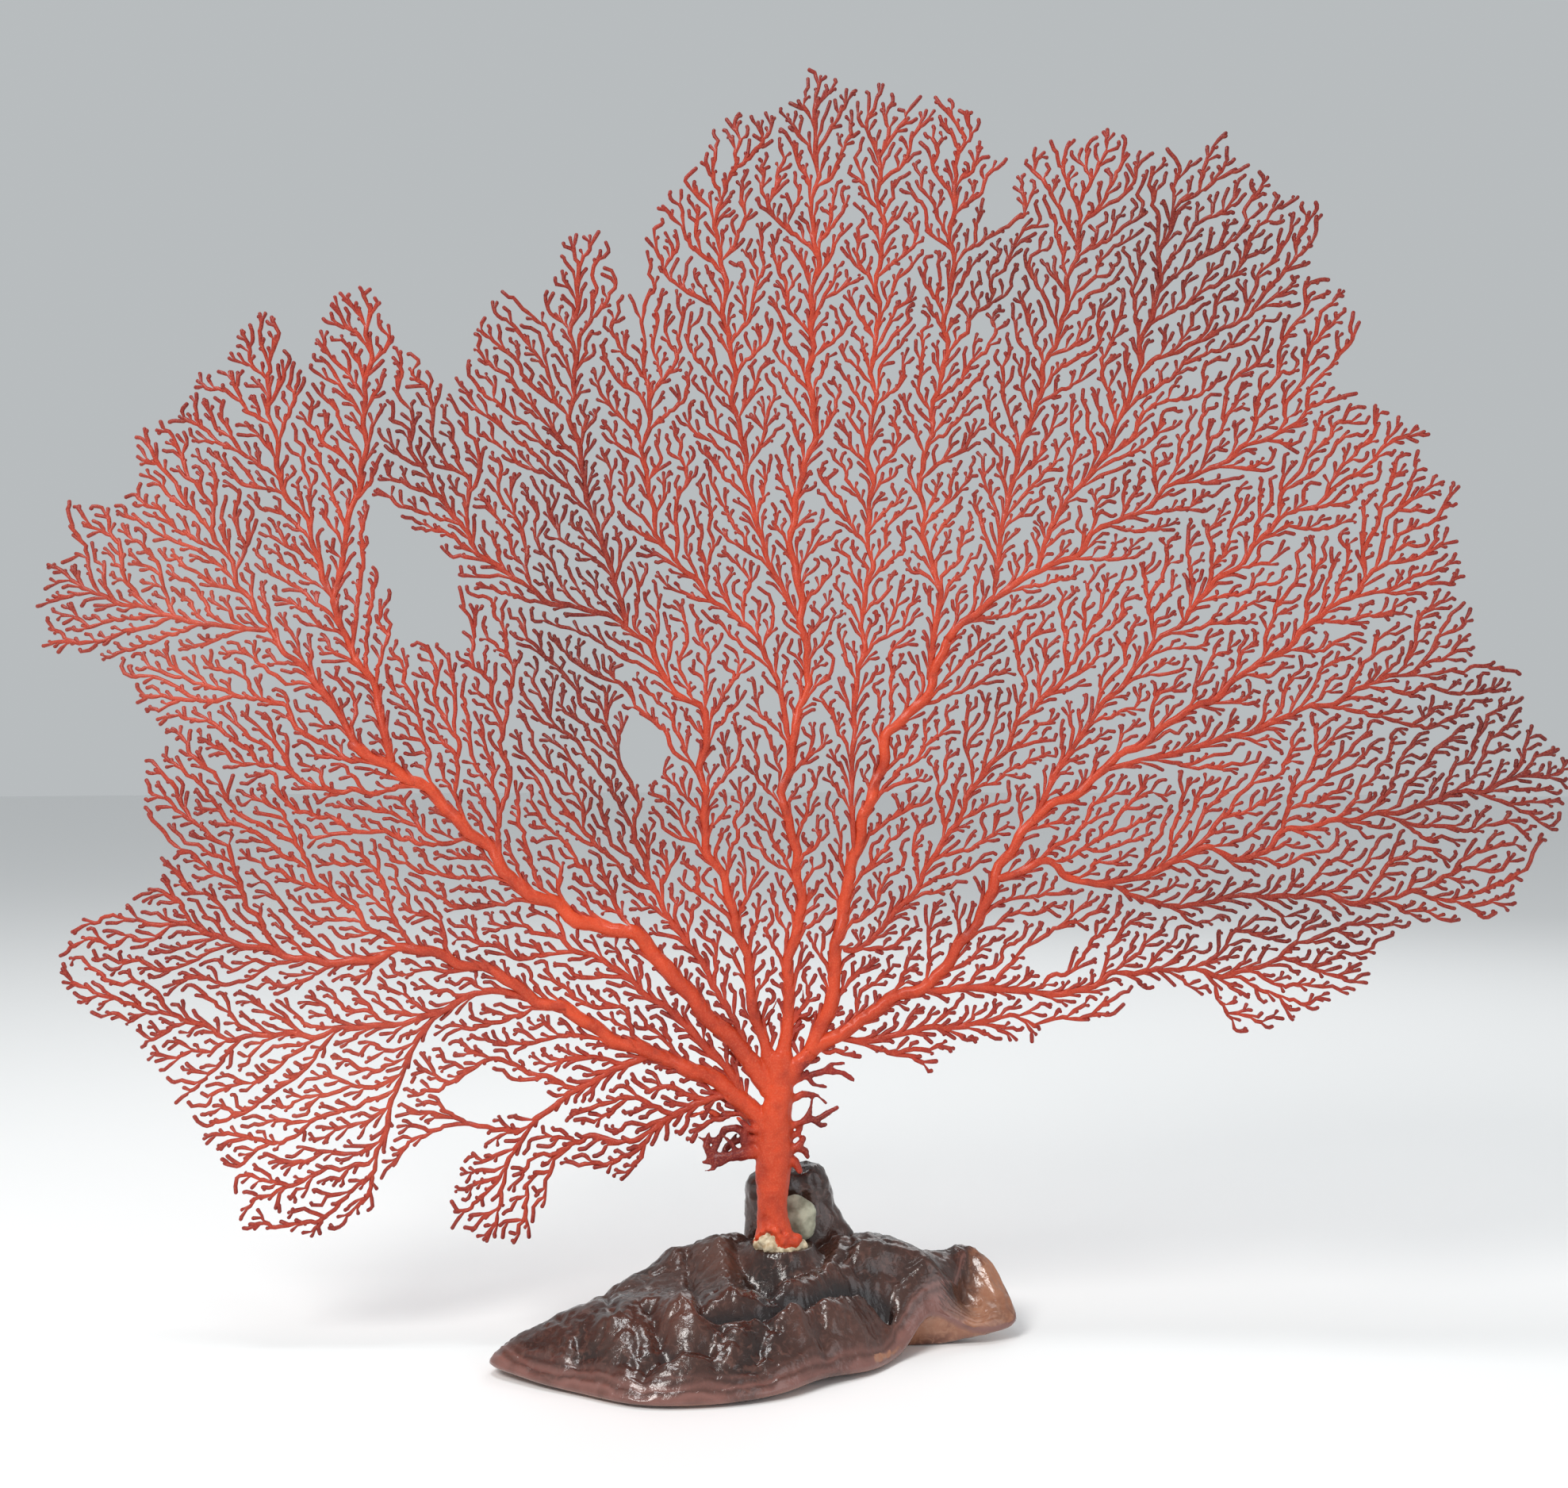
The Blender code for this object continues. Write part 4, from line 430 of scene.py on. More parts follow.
def shade_and_light_at(x, z):
    """How much painted shade darkens (plus) or painted light pales (minus) the coral at a spot of the fan."""
    return sum(
        tone * math.exp(-((x - cx) / along) ** 2 - ((z - cz) / up) ** 2)
        for cx, cz, along, up, tone in SHADE_AND_LIGHT_PATCHES)


def paint_shade_and_light(mesh):
    # painted shade (plus) and painted light (minus) at each point, kept as an attribute of the mesh
    tone = mesh.attributes.new("painted_shade", "FLOAT", "POINT")
    tone.data.foreach_set("value", [shade_and_light_at(vert.co.x / MM, vert.co.z / MM) for vert in mesh.vertices])


def unit(x, z):
    length = math.hypot(x, z) or 1.0
    return x / length, z / length


def turned(x, z, angle):
    c, s = math.cos(angle), math.sin(angle)
    return x * c - z * s, x * s + z * c


def inside(points, polygon):
    """Whether each point lies inside a closed polygon."""
    x, z = points[:, 0], points[:, 1]
    found = np.zeros(len(points), bool)
    for (ax, az), (bx, bz) in zip(polygon, polygon[1:] + polygon[:1]):
        crosses = (az > z) != (bz > z)
        with np.errstate(divide="ignore", invalid="ignore"):
            edge_x = ax + (z - az) * (bx - ax) / (bz - az if bz != az else TINY)
        found ^= crosses & (x < edge_x)
    return found


def curve_point(quad, t):
    """The point on a smooth curve through four points, share t of the way from the second to the third."""
    return tuple(
        0.5 * (2 * b + (c - a) * t + (2 * a - 5 * b + 4 * c - d) * t * t + (3 * b - a - 3 * c + d) * t ** 3)
        for a, b, c, d in zip(*quad))


def smooth_line(points, step):
    """A smooth curve through the points, cut into steps of one length."""
    ends = [points[0], *points, points[-1]]
    fine = []
    for quad in zip(ends, ends[1:], ends[2:], ends[3:]):
        parts = max(2, int(math.dist(quad[1], quad[2]) / (step * CURVE_SHARE)))
        fine += [curve_point(quad, i / parts) for i in range(parts)]
    fine.append(tuple(points[-1]))
    out, gone = [fine[0]], 0.0
    for a, b in zip(fine, fine[1:]):
        length = math.dist(a, b)
        while gone + length >= step:
            t = (step - gone) / length
            a = (a[0] + (b[0] - a[0]) * t, a[1] + (b[1] - a[1]) * t)
            out.append(a)
            length -= step - gone
            gone = 0.0
        gone += length
    return out


def wavy(path, step, order):
    """A limb wavers more and more towards its end, as its twigs do."""
    out = []
    for i, (x, z) in enumerate(path):
        along = i * step
        a, b = path[max(i - 1, 0)], path[min(i + 1, len(path) - 1)]
        hx, hz = unit(b[0] - a[0], b[1] - a[1])
        short = SHORT_WAVE * math.sin(along / SHORT_WAVE_LENGTH + order * SHORT_WAVE_TURN)
        long = LONG_WAVE * math.sin(along / LONG_WAVE_LENGTH + order * LONG_WAVE_TURN)
        off = min(along / WAVES_FROM, 1.0) * (short + long)
        out.append((x - hz * off, z + hx * off))
    return out


class Fan:
    """The fan's network: each point's place, parent, kids, limb line, heading, number along a limb
    (or -1), length since its own line began, present drift and the way its twigs flow."""

    def __init__(self):
        self.place, self.parent, self.kids, self.line = [], [], [], []
        self.heading, self.mark, self.level, self.run, self.drift = [], [], [], [], []
        self.flow = []

    def add(self, place, parent, line, heading, mark=-1, level=0, run=0.0, drift=0.0):
        outward = unit(place[0] - FAN_ROOT[0], place[1] - FAN_ROOT[1])
        if mark >= 0:
            flow = unit(outward[0] + heading[0], outward[1] + heading[1])
        else:
            flow = self.flow[parent]
            flow = unit(flow[0] + FLOW_BACK * outward[0], flow[1] + FLOW_BACK * outward[1])
        self.flow.append(flow)
        self.place.append(place)
        self.parent.append(parent)
        self.kids.append([])
        self.line.append(line)
        self.heading.append(heading)
        self.mark.append(mark)
        self.level.append(level)
        self.run.append(run)
        self.drift.append(drift)
        if parent >= 0:
            self.kids[parent].append(len(self.place) - 1)
        return len(self.place) - 1

    def same_line(self, parent, kid):
        """Whether the kid carries its parent's line on, rather than leaving it."""
        if self.mark[parent] >= 0:
            return self.mark[kid] >= 0 and self.line[kid] == self.line[parent]
        return self.run[kid] > self.run[parent]

    def side_of(self, parent, kid):
        hx, hz = self.heading[parent]
        kx, kz = self.heading[kid]
        return 1 if hx * kz - hz * kx > 0 else -1

    def sprouts_near(self, node, side, far):
        """Whether the line through a point already sprouts on this side within a distance."""
        for upward in (True, False):
            at, gone = node, 0.0
            while True:
                if upward:
                    after = [kid for kid in self.kids[at] if self.same_line(at, kid)]
                    following = after[0] if after else -1
                else:
                    following = self.parent[at]
                if following < 0:
                    break
                gone += math.dist(self.place[at], self.place[following])
                if gone >= far:
                    break
                at = following
                for kid in self.kids[at]:
                    if not self.same_line(at, kid) and self.side_of(at, kid) == side:
                        return True
        return False


def cell_of(x, z, size):
    return int(x // size), int(z // size)


def scatter_food(pitch, rng):
    """Free points all over the fan's area, which the twigs grow towards."""
    xs = [p[0] for p in OUTLINE]
    zs = [p[1] for p in OUTLINE]
    spots = []
    for i in range(int((max(xs) - min(xs)) / pitch) + 1):
        for j in range(int((max(zs) - min(zs)) / pitch) + 1):
            x = min(xs) + (i + rng.uniform(-0.5, 0.5)) * pitch
            spots.append((x, min(zs) + (j + rng.uniform(-0.5, 0.5)) * pitch))
    spots = np.array(spots)
    free = inside(spots, OUTLINE)
    for hole in HOLES:
        free &= ~inside(spots, hole)
    return spots[free]


def limb_births(step):
    """Each limb's points with the age at which they appear, hosts before what leaves them."""
    lines, births = {}, []
    for order, limb in enumerate(LIMBS):
        path = wavy(smooth_line(limb.points, step), step, order)
        anchor = -1
        age = math.dist(path[0], FAN_ROOT) / (step * LIMB_LEAD)
        if limb.host:
            host_path, host_ages = lines[limb.host]
            anchor = min(range(len(host_path)), key=lambda i: math.dist(host_path[i], path[0]))
            age = host_ages[anchor]
        ages = [age + i / LIMB_LEAD for i in range(len(path))]
        lines[limb.name] = (path, ages)
        births.extend((ages[i], order, i, path[i], limb.host, anchor) for i in range(len(path)))
    return sorted(births)


def grow(fan, births, rules, level, longest, rng):
    """Lets the points of one level grow towards the free points nearest to them."""
    spacing, step = rules["spacing"], rules["step"]
    crowding, reach = spacing * rules["crowding"], spacing * rules["reach"]
    spots = scatter_food(spacing * rules["food"], rng)
    alive = np.ones(len(spots), bool)
    nearest = np.full(len(spots), -1)
    gap = np.full(len(spots), reach)
    cells, taken = {}, {}
    for i, (x, z) in enumerate(spots):
        cells.setdefault(cell_of(x, z, reach), []).append(i)

    def settle(node):
        """Uses up the free points beside a new point and lets it pull on those within reach."""
        x, z = fan.place[node]
        taken.setdefault(cell_of(x, z, crowding), []).append(node)
        cx, cz = cell_of(x, z, reach)
        ids = [i for dx in (-1, 0, 1) for dz in (-1, 0, 1) for i in cells.get((cx + dx, cz + dz), ())]
        ids = np.array(ids, int)
        ids = ids[alive[ids]]
        away = np.hypot(spots[ids, 0] - x, spots[ids, 1] - z)
        alive[ids[away < crowding]] = False
        closer = away < gap[ids]
        nearest[ids[closer]] = node
        gap[ids[closer]] = away[closer]

    def crowded(x, z, parent, run):
        """Whether a new point would come up against another twig."""
        limit = min(crowding * rules["near"], rules["run"] * run)
        family = (parent, fan.parent[parent])
        cx, cz = cell_of(x, z, crowding)
        for dx in (-1, 0, 1):
            for dz in (-1, 0, 1):
                for other in taken.get((cx + dx, cz + dz), ()):
                    if other not in family and math.dist(fan.place[other], (x, z)) < limit:
                        return True
        return False

    def sprout(node, side, pull):
        """The place, heading, run and drift of a point's next kid, or None where it can't grow."""
        x, z = fan.place[node]
        hx, hz = fan.heading[node]
        ox, oz = fan.flow[node]
        px, pz = unit(*pull)
        out, straight = rules["outward"], rules["straight"] if side == 0 else SPROUT_FORWARD
        dx, dz = unit(px + out * ox + straight * hx, pz + out * oz + straight * hz)
        if side == 0:
            drift = rules["keep"] * fan.drift[node] + rng.gauss(0, rules["drift"])
            dx, dz = turned(dx, dz, drift)
            run = fan.run[node] + step
        else:
            drift, run = 0.0, step
            angle = side * math.atan2(hx * dz - hz * dx, hx * dx + hz * dz)
            least = math.radians(rules["opening"] * rng.uniform(*OPENING_SPREAD))
            widest = math.radians(WIDEST_OPENING)
            if not least <= angle <= widest:
                dx, dz = turned(hx, hz, side * (least if angle < least else widest))
        if dx * ox + dz * oz < rules["tip_turn" if side == 0 else "side_turn"]:
            return None
        if run > longest:
            return None
        spot = (x + dx * step, z + dz * step)
        if crowded(*spot, node, run):
            return None
        return spot, (dx, dz), run, drift

    for node in range(len(fan.place)):
        settle(node)
    limb_points, born, age, full = {}, 0, 0, set()
    while True:
        while born < len(births) and births[born][0] <= age:
            _, order, i, spot, host, anchor = births[born]
            born += 1
            name = LIMBS[order].name
            if i == 0 and host:
                limb_points[name, 0] = limb_points[host, anchor]
                continue
            parent = limb_points[name, i - 1] if i else -1
            before = fan.place[parent] if parent >= 0 else FAN_ROOT
            heading = unit(spot[0] - before[0], spot[1] - before[1])
            limb_points[name, i] = fan.add(spot, parent, order, heading, i)
            settle(limb_points[name, i])
        pulls = {}
        for i in np.nonzero(alive & (nearest >= 0))[0]:
            node = int(nearest[i])
            x, z = fan.place[node]
            ux, uz = unit(spots[i, 0] - x, spots[i, 1] - z)
            side = 0
            if fan.kids[node] or fan.mark[node] >= 0:
                hx, hz = fan.heading[node]
                side = 1 if hx * uz - hz * ux > 0 else -1
            sx, sz = pulls.get((node, side), (0.0, 0.0))
            pulls[node, side] = (sx + ux, sz + uz)
        fresh = 0
        queue = sorted(pulls)
        rng.shuffle(queue)
        for node, side in queue:
            if (node, side) in full:
                continue
            along = fan.mark[node] * STRANDS["step"]
            bare = 0 <= along < (BARE_ROOT if LIMBS[fan.line[node]].host is None else BARE_START)
            if side and not bare and fan.sprouts_near(node, side, spacing * rules["apart"]):
                continue
            kid = None if bare else sprout(node, side, pulls[node, side])
            if side or kid is None:
                full.add((node, side))
            if kid:
                spot, heading, run, drift = kid
                settle(fan.add(spot, node, fan.line[node], heading, -1, level, run, drift))
                fresh += 1
        age += 1
        if not fresh and born >= len(births):
            return


def grow_fan():
    rng = random.Random(SEED)
    fan = Fan()
    grow(fan, limb_births(STRANDS["step"]), STRANDS, 0, math.inf, rng)
    grow(fan, [], TWIGS, 1, LONGEST_TWIG, rng)
    grow(fan, [], GAP_TWIGS, 2, LONGEST_GAP_TWIG, rng)
    return fan


def limb_diameter(fan, node):
    """The limb's thickness at one of its points, or 0 on a twig."""
    if fan.mark[node] < 0:
        return 0.0
    limb = LIMBS[fan.line[node]]
    length = sum(math.dist(a, b) for a, b in zip(limb.points, limb.points[1:]))
    share = min(fan.mark[node] * STRANDS["step"] / length, 1.0)
    return limb.start + (limb.end - limb.start) * share ** LIMB_TAPER


def longest_reach(fan):
    """For each point, how far the longest twig beyond it runs."""
    reach = [0.0] * len(fan.place)
    for node in range(len(fan.place) - 1, 0, -1):
        parent = fan.parent[node]
        if parent >= 0:
            reach[parent] = max(reach[parent], reach[node] + math.dist(fan.place[node], fan.place[parent]))
    return reach


def drop_stubs(fan):
    """Takes the shortest twigs off their parents."""
    reach = longest_reach(fan)
    for node, kids in enumerate(fan.kids):
        fan.kids[node] = [
            kid for kid in kids
            if fan.mark[kid] >= 0 or reach[kid] + math.dist(fan.place[kid], fan.place[node]) >= SHORTEST_TWIG]


def count_tips(fan):
    """For each point, how many twig ends lie beyond it."""
    tips = [0] * len(fan.place)
    for node in range(len(fan.place) - 1, -1, -1):
        if not fan.kids[node]:
            tips[node] = 1
        parent = fan.parent[node]
        if parent >= 0 and node in fan.kids[parent]:
            tips[parent] += tips[node]
    return tips


def straighten(places, tolerance):
    """The numbers of the points that a line keeps when bends within the tolerance go."""
    if len(places) < 3:
        return list(range(len(places)))
    (ax, az), (bx, bz) = places[0], places[-1]
    ux, uz = unit(bx - ax, bz - az)
    off = [abs((x - ax) * uz - (z - az) * ux) for x, z in places]
    far = max(range(len(places)), key=off.__getitem__)
    if off[far] <= tolerance:
        if math.dist(places[0], places[-1]) <= LONGEST_GAP:
            return [0, len(places) - 1]
        far = len(places) // 2
    left = straighten(places[:far + 1], tolerance)
    right = straighten(places[far:], tolerance)
    return left[:-1] + [far + i for i in right]


def sheet_depth(x, z):
    """How far the fan's sheet lies behind the trunk's plane, in mm."""
    away = math.dist((x, z), FAN_ROOT)
    across = WAVE_ACROSS * math.sin(WAVE_ACROSS_RATE * x + WAVE_PHASE)
    up = WAVE_UP * math.cos(WAVE_UP_RATE * z)
    ripple = WOBBLE * noise.noise(Vector((x, z, 3.0)) / WOBBLE_SIZE)
    return away * (across + up) * min(away / WAVE_FADE, 1.0) + ripple * min(away / WOBBLE_FADE, 1.0)


class Network:
    """One piece of the fan as a single skin of quads round each twig, parted at every fork."""

    def __init__(self, fan, piece, tips, reach):
        self.fan = fan
        self.piece = piece
        self.tips = tips
        self.reach = reach
        self.points = []
        self.faces = []
        self.marks = []

    def radius(self, node):
        fan = self.fan
        x, z = fan.place[node]
        twig = min(TWIG_DIAMETER + THICKENING * self.tips[node] ** THICKENING_POWER, THICKEST_STRAND)
        twig *= 1 + ROOT_EXTRA * math.exp(-(math.dist((x, z), FAN_ROOT) / ROOT_REACH) ** 2)
        knob = 1 + KNOB_SHARE * noise.noise(Vector((x, z, 8.0)) / KNOB_SIZE)
        return 0.5 * max(limb_diameter(fan, node), twig) * knob / RING_SHARE

    def own_kids(self, node):
        return [kid for kid in self.fan.kids[node] if LIMBS[self.fan.line[kid]].piece == self.piece]

    def stations(self, node, kid):
        """The points where the tube from node through kid gets a ring, up to its next fork or its tip."""
        fan = self.fan
        chain = [node, kid]
        leaves_limb = fan.mark[kid] < 0 <= fan.mark[node]
        clear = self.radius(node) + self.radius(kid) * SIDE_CLEAR if leaves_limb else FIRST_RING
        while True:
            kids = self.own_kids(chain[-1])
            close = math.dist(fan.place[chain[-1]], fan.place[node]) < clear
            if not kids or (len(kids) > 1 and not close):
                break
            chain.append(max(kids, key=lambda k: (fan.mark[k] >= 0, self.reach[k])))
        if math.dist(fan.place[chain[-1]], fan.place[node]) < clear:
            return []
        kept = straighten([fan.place[n] for n in chain], BEND_TOLERANCE)
        return [chain[i] for i in kept[1:] if math.dist(fan.place[chain[i]], fan.place[node]) >= clear]

    def ring(self, place, heading, radius, widths, tipward):
        """Points across a tube from its left edge to its right edge, front and back, with a valley between
        each two branches that leave here. Gives each branch's own part as (share, front, back) rows."""
        middle = sheet_depth(*place)
        ridges = [1 + sum(width > limit for limit in RIDGE_LIMITS) for width in widths]
        steps = sum(ridges) + len(ridges)
        edge = math.pi / (steps + 1) / 2
        rows, share = [], 0.0
        for number, (width, count) in enumerate(zip(widths, ridges)):
            part = width / sum(widths)
            row = []
            for k in range(count + 2):
                if k == 0 and rows:
                    row.append(rows[-1][-1])
                    continue
                s = share + part * k / (count + 1)
                turn = edge + s * (math.pi - 2 * edge)
                depth = radius * math.sin(turn)
                if len(widths) > 1:
                    depth = min(depth, FORK_EDGE * width)
                    if k == count + 1 and number < len(widths) - 1:
                        depth = VALLEY * min(radius, FORK_EDGE * min(width, widths[number + 1]))
                off = radius * math.cos(turn)
                x, z = place[0] - heading[1] * off, place[1] + heading[0] * off
                row.append((s, len(self.points), len(self.points) + 1))
                self.points.append(Vector((x, middle - depth, z)) * MM)
                self.points.append(Vector((x, middle + depth, z)) * MM)
                self.marks += [tipward, tipward]
            rows.append(row)
            share += part
        return rows

    def zip_rows(self, near, far):
        """Skins the strip between two rows of (share, point)."""
        i = j = 0
        while i < len(near) - 1 or j < len(far) - 1:
            next_near = near[i + 1][0] if i < len(near) - 1 else math.inf
            next_far = far[j + 1][0] if j < len(far) - 1 else math.inf
            if abs(next_near - next_far) < SAME_SHARE:
                self.faces.append((near[i][1], near[i + 1][1], far[j + 1][1], far[j][1]))
                i, j = i + 1, j + 1
            elif next_near < next_far:
                self.faces.append((near[i][1], near[i + 1][1], far[j][1]))
                i += 1
            else:
                self.faces.append((near[i][1], far[j + 1][1], far[j][1]))
                j += 1

    def join(self, start, rows):
        """Skins the tube from one row to the rows of the ring at its next point."""
        first, last = start[0][0], start[-1][0]
        near = [((share - first) / (last - first), front, back) for share, front, back in start]
        far = list(rows[0])
        for row in rows[1:]:
            far += row[1:]
        self.zip_rows([(s, front) for s, front, back in near], [(s, front) for s, front, back in far])
        self.zip_rows([(s, back) for s, front, back in near], [(s, back) for s, front, back in far])
        self.faces.append((near[0][1], near[0][2], far[0][2], far[0][1]))
        self.faces.append((near[-1][2], near[-1][1], far[-1][1], far[-1][2]))

    def close(self, row):
        """Ends the tube in a flat face."""
        self.faces.append([front for s, front, back in row] + [back for s, front, back in row[::-1]])

    def tipward(self, node):
        """From 0 on the thickest limbs to 1 at a twig's end."""
        slim = 1 - min(max(2 * self.radius(node) - TWIG_DIAMETER, 0.0) / SLIM_FADE, 1.0)
        near_tip = max(0.0, 1 - self.reach[node] / TIP_FADE)
        return 0.5 * slim + 0.5 * near_tip

    def build(self, place, kid):
        """Skins everything that grows from one place through the kid."""
        fan = self.fan
        heading = unit(fan.place[kid][0] - place[0], fan.place[kid][1] - place[1])
        radius = self.radius(kid)
        [start] = self.ring(place, heading, radius, [radius], self.tipward(kid))
        self.close(start)
        work = [(start, place, [kid])]
        while work:
            start, before, (node, *rest) = work.pop()
            place = fan.place[node]
            arriving = unit(place[0] - before[0], place[1] - before[1])
            branches = [rest] if rest else [self.stations(node, kid) for kid in self.own_kids(node)]
            branches = [branch for branch in branches if branch]
            radius, tipward = self.radius(node), self.tipward(node)
            if not branches:
                rows = self.ring(place, arriving, radius, [radius], tipward)
                self.join(start, rows)
                ahead = radius * TIP_AHEAD
                place = (place[0] + arriving[0] * ahead, place[1] + arriving[1] * ahead)
                [end] = self.ring(place, arriving, radius * TIP_SHARE, [radius * TIP_SHARE], tipward)
                self.join(rows[0], [end])
                self.close(end)
                continue
            leaving = [unit(fan.place[b[0]][0] - place[0], fan.place[b[0]][1] - place[1]) for b in branches]
            ax, az = arriving
            turn = [math.atan2(ax * z - az * x, ax * x + az * z) for x, z in leaving]
            sides = sorted(range(len(branches)), key=lambda i: -turn[i])
            widths = [self.radius(branches[i][0]) for i in sides]
            main = max(range(len(branches)), key=lambda i: self.radius(branches[i][0]))
            heading = unit(arriving[0] + leaving[main][0], arriving[1] + leaving[main][1])
            rows = self.ring(place, heading, max(radius, FORK_WIDTH * sum(widths)), widths, tipward)
            self.join(start, rows)
            for row, i in zip(rows, sides):
                work.append((row, place, branches[i]))

    def mesh(self):
        mesh = bpy.data.meshes.new(self.piece + "_twigs")
        mesh.from_pydata(self.points, [], self.faces)
        tone = mesh.attributes.new("tipward", "FLOAT", "POINT")
        tone.data.foreach_set("value", self.marks)
        shape = bmesh.new()
        shape.from_mesh(mesh)
        bmesh.ops.recalc_face_normals(shape, faces=shape.faces)
        shape.to_mesh(mesh)
        shape.free()
        return mesh


def link(name, mesh, material):
    thing = bpy.data.objects.new(name, mesh)
    bpy.context.scene.collection.objects.link(thing)
    mesh.materials.clear()
    mesh.materials.append(material)
    return thing


def apply_modifiers(thing):
    """Turns a piece's evaluated shape into its own mesh."""
    depsgraph = bpy.context.evaluated_depsgraph_get()
    mesh = bpy.data.meshes.new_from_object(thing.evaluated_get(depsgraph))
    old = thing.data
    thing.modifiers.clear()
    thing.data = mesh
    bpy.data.meshes.remove(old)
    mesh.shade_smooth()


def make_limbs(fan, coral):
    tips, reach = count_tips(fan), longest_reach(fan)
    first = {}
    for node, line in enumerate(fan.line):
        if fan.mark[node] in (0, 1):
            first.setdefault((line, fan.mark[node]), node)
    done = []
    for order, row in enumerate(LIMBS):
        piece = row.piece
        if piece in done:
            continue
        done.append(piece)
        network = Network(fan, piece, tips, reach)
        if row.host is None:
            x, z = fan.place[first[order, 0]]
            hx, hz = fan.heading[first[order, 1]]
            network.build((x - hx, z - hz), first[order, 0])
        else:
            node = first[order, 1]
            network.build(fan.place[fan.parent[node]], node)
        limb = link(piece + "_twigs", network.mesh(), coral)
        limb.data.shade_smooth()
        # painted shade and painted light of the lobes on these twigs
        paint_shade_and_light(limb.data)
        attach(limb, "root")
        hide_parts(piece)


def sphere_chain(shape, points, radii, pitch):
    """Spheres along a line, close enough to make one tube once they are remeshed."""
    for (a, ra), (b, rb) in zip(zip(points, radii), zip(points[1:], radii[1:])):
        a, b = Vector(a), Vector(b)
        steps = max(1, round((b - a).length / pitch))
        for i in range(steps + 1):
            t = i / steps
            spot = Matrix.Translation(a.lerp(b, t) * MM)
            bmesh.ops.create_icosphere(shape, subdivisions=2, radius=(ra + (rb - ra) * t) * MM, matrix=spot)


def add_lumps(shape, lumps):
    """A sphere for each centre and radius."""
    for centre, radius in lumps:
        sphere_chain(shape, [centre, centre], [radius, radius], 1.0)


def level_tube(shape, levels, sides):
    """A closed upright tube through levels of (height, centre x and y, half width along x and y)."""
    rings = []
    for height, x, y, along_x, along_y in levels:
        rings.append([
            shape.verts.new(Vector((x + along_x * math.cos(turn), y + along_y * math.sin(turn), height)) * MM)
            for turn in (2 * math.pi * k / sides for k in range(sides))])
    for lower, upper in zip(rings, rings[1:]):
        for k in range(sides):
            shape.faces.new((lower[k], lower[k - 1], upper[k - 1], upper[k]))
    shape.faces.new(rings[0])
    shape.faces.new(rings[-1][::-1])


def smooth_levels(levels, pitch):
    """The levels with more of them in between, along a smooth curve."""
    ends = [levels[0], *levels, levels[-1]]
    out = []
    for quad in zip(ends, ends[1:], ends[2:], ends[3:]):
        parts = max(1, round(abs(quad[2][0] - quad[1][0]) / pitch))
        out += [curve_point(quad, i / parts) for i in range(parts)]
    out.append(levels[-1])
    return out


def remeshed(name, shape, voxel, smoothing, material):
    """One closed skin round everything in the shape."""
    thing = link(name, plain_mesh(name, shape), material)
    skin = thing.modifiers.new("skin", "REMESH")
    skin.mode = "VOXEL"
    skin.voxel_size = voxel * MM
    relax = thing.modifiers.new("relax", "SMOOTH")
    relax.factor = 0.5
    relax.iterations = smoothing
    apply_modifiers(thing)
    return thing


def displace(thing, layers, seed):
    """Moves each point along its normal by layers of noise: height and size in mm."""
    mesh = thing.data
    normals = [vert.normal.copy() for vert in mesh.vertices]
    for vert, normal in zip(mesh.vertices, normals):
        place = vert.co / MM
        rise = sum(height * noise.noise(place / size + Vector((seed, size, 0))) for height, size in layers)
        vert.co += normal * rise * MM
    mesh.update()


def stub_tone(place):
    """Towards 1 on the stubs beside the trunk, 0 on the trunk itself."""
    _, x, along_x, _ = min(TRUNK_LEVELS, key=lambda level: abs(level[0] - place.z))
    beside = abs(place.x - x) - along_x
    top = STUB_TONE_LEFT if place.x < x else STUB_TONE_RIGHT
    return min(max(beside / STUB_TONE_FADE, 0.0), STUB_TONE) if STUB_TONE_FROM < place.z < top else 0.0


def make_trunk(fan, coral, core_material):
    shape = bmesh.new()
    levels = [(z, x, 0.0, along_x, along_y) for z, x, along_x, along_y in TRUNK_LEVELS]
    level_tube(shape, smooth_levels(levels, TRUNK_PITCH), TRUNK_SIDES)
    for radius, points in TRUNK_STUBS:
        radii = [radius * (1 - STUB_TAPER * i / (len(points) - 1)) for i in range(len(points))]
        sphere_chain(shape, points, radii, STUB_PITCH)
    for order, limb in enumerate(LIMBS):
        if limb.host is None:
            nodes = [i for i, line in enumerate(fan.line) if line == order and fan.mark[i] >= 0]
            nodes = [i for i in nodes if fan.mark[i] * STRANDS["step"] <= LIMB_SLEEVE]
            places = [(x, sheet_depth(x, z), z) for x, z in (fan.place[i] for i in nodes)]
            radii = [
                0.5 * limb_diameter(fan, i) + SLEEVE_EXTRA * (1 - SLEEVE_FADE * k / len(nodes))
                for k, i in enumerate(nodes)]
            sphere_chain(shape, places, radii, SLEEVE_PITCH)
    add_lumps(shape, FOOT_RIND)
    trunk = remeshed("trunk_rind", shape, TRUNK_VOXEL, TRUNK_SMOOTHING, coral)
    displace(trunk, TRUNK_GRAIN, seed=4.0)
    tone = trunk.data.attributes.new("tipward", "FLOAT", "POINT")
    tone.data.foreach_set("value", [stub_tone(vert.co / MM) for vert in trunk.data.vertices])
    # painted shade on the trunk's right side and on the stubs between it and the left limbs
    paint_shade_and_light(trunk.data)
    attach(trunk, "root")
    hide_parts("trunk")
    shape = bmesh.new()
    add_lumps(shape, FOOT_CORE)
    core = remeshed("foot_core", shape, CORE_VOXEL, CORE_SMOOTHING, core_material)
    displace(core, CORE_GRAIN, seed=9.0)
    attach(core, "root")


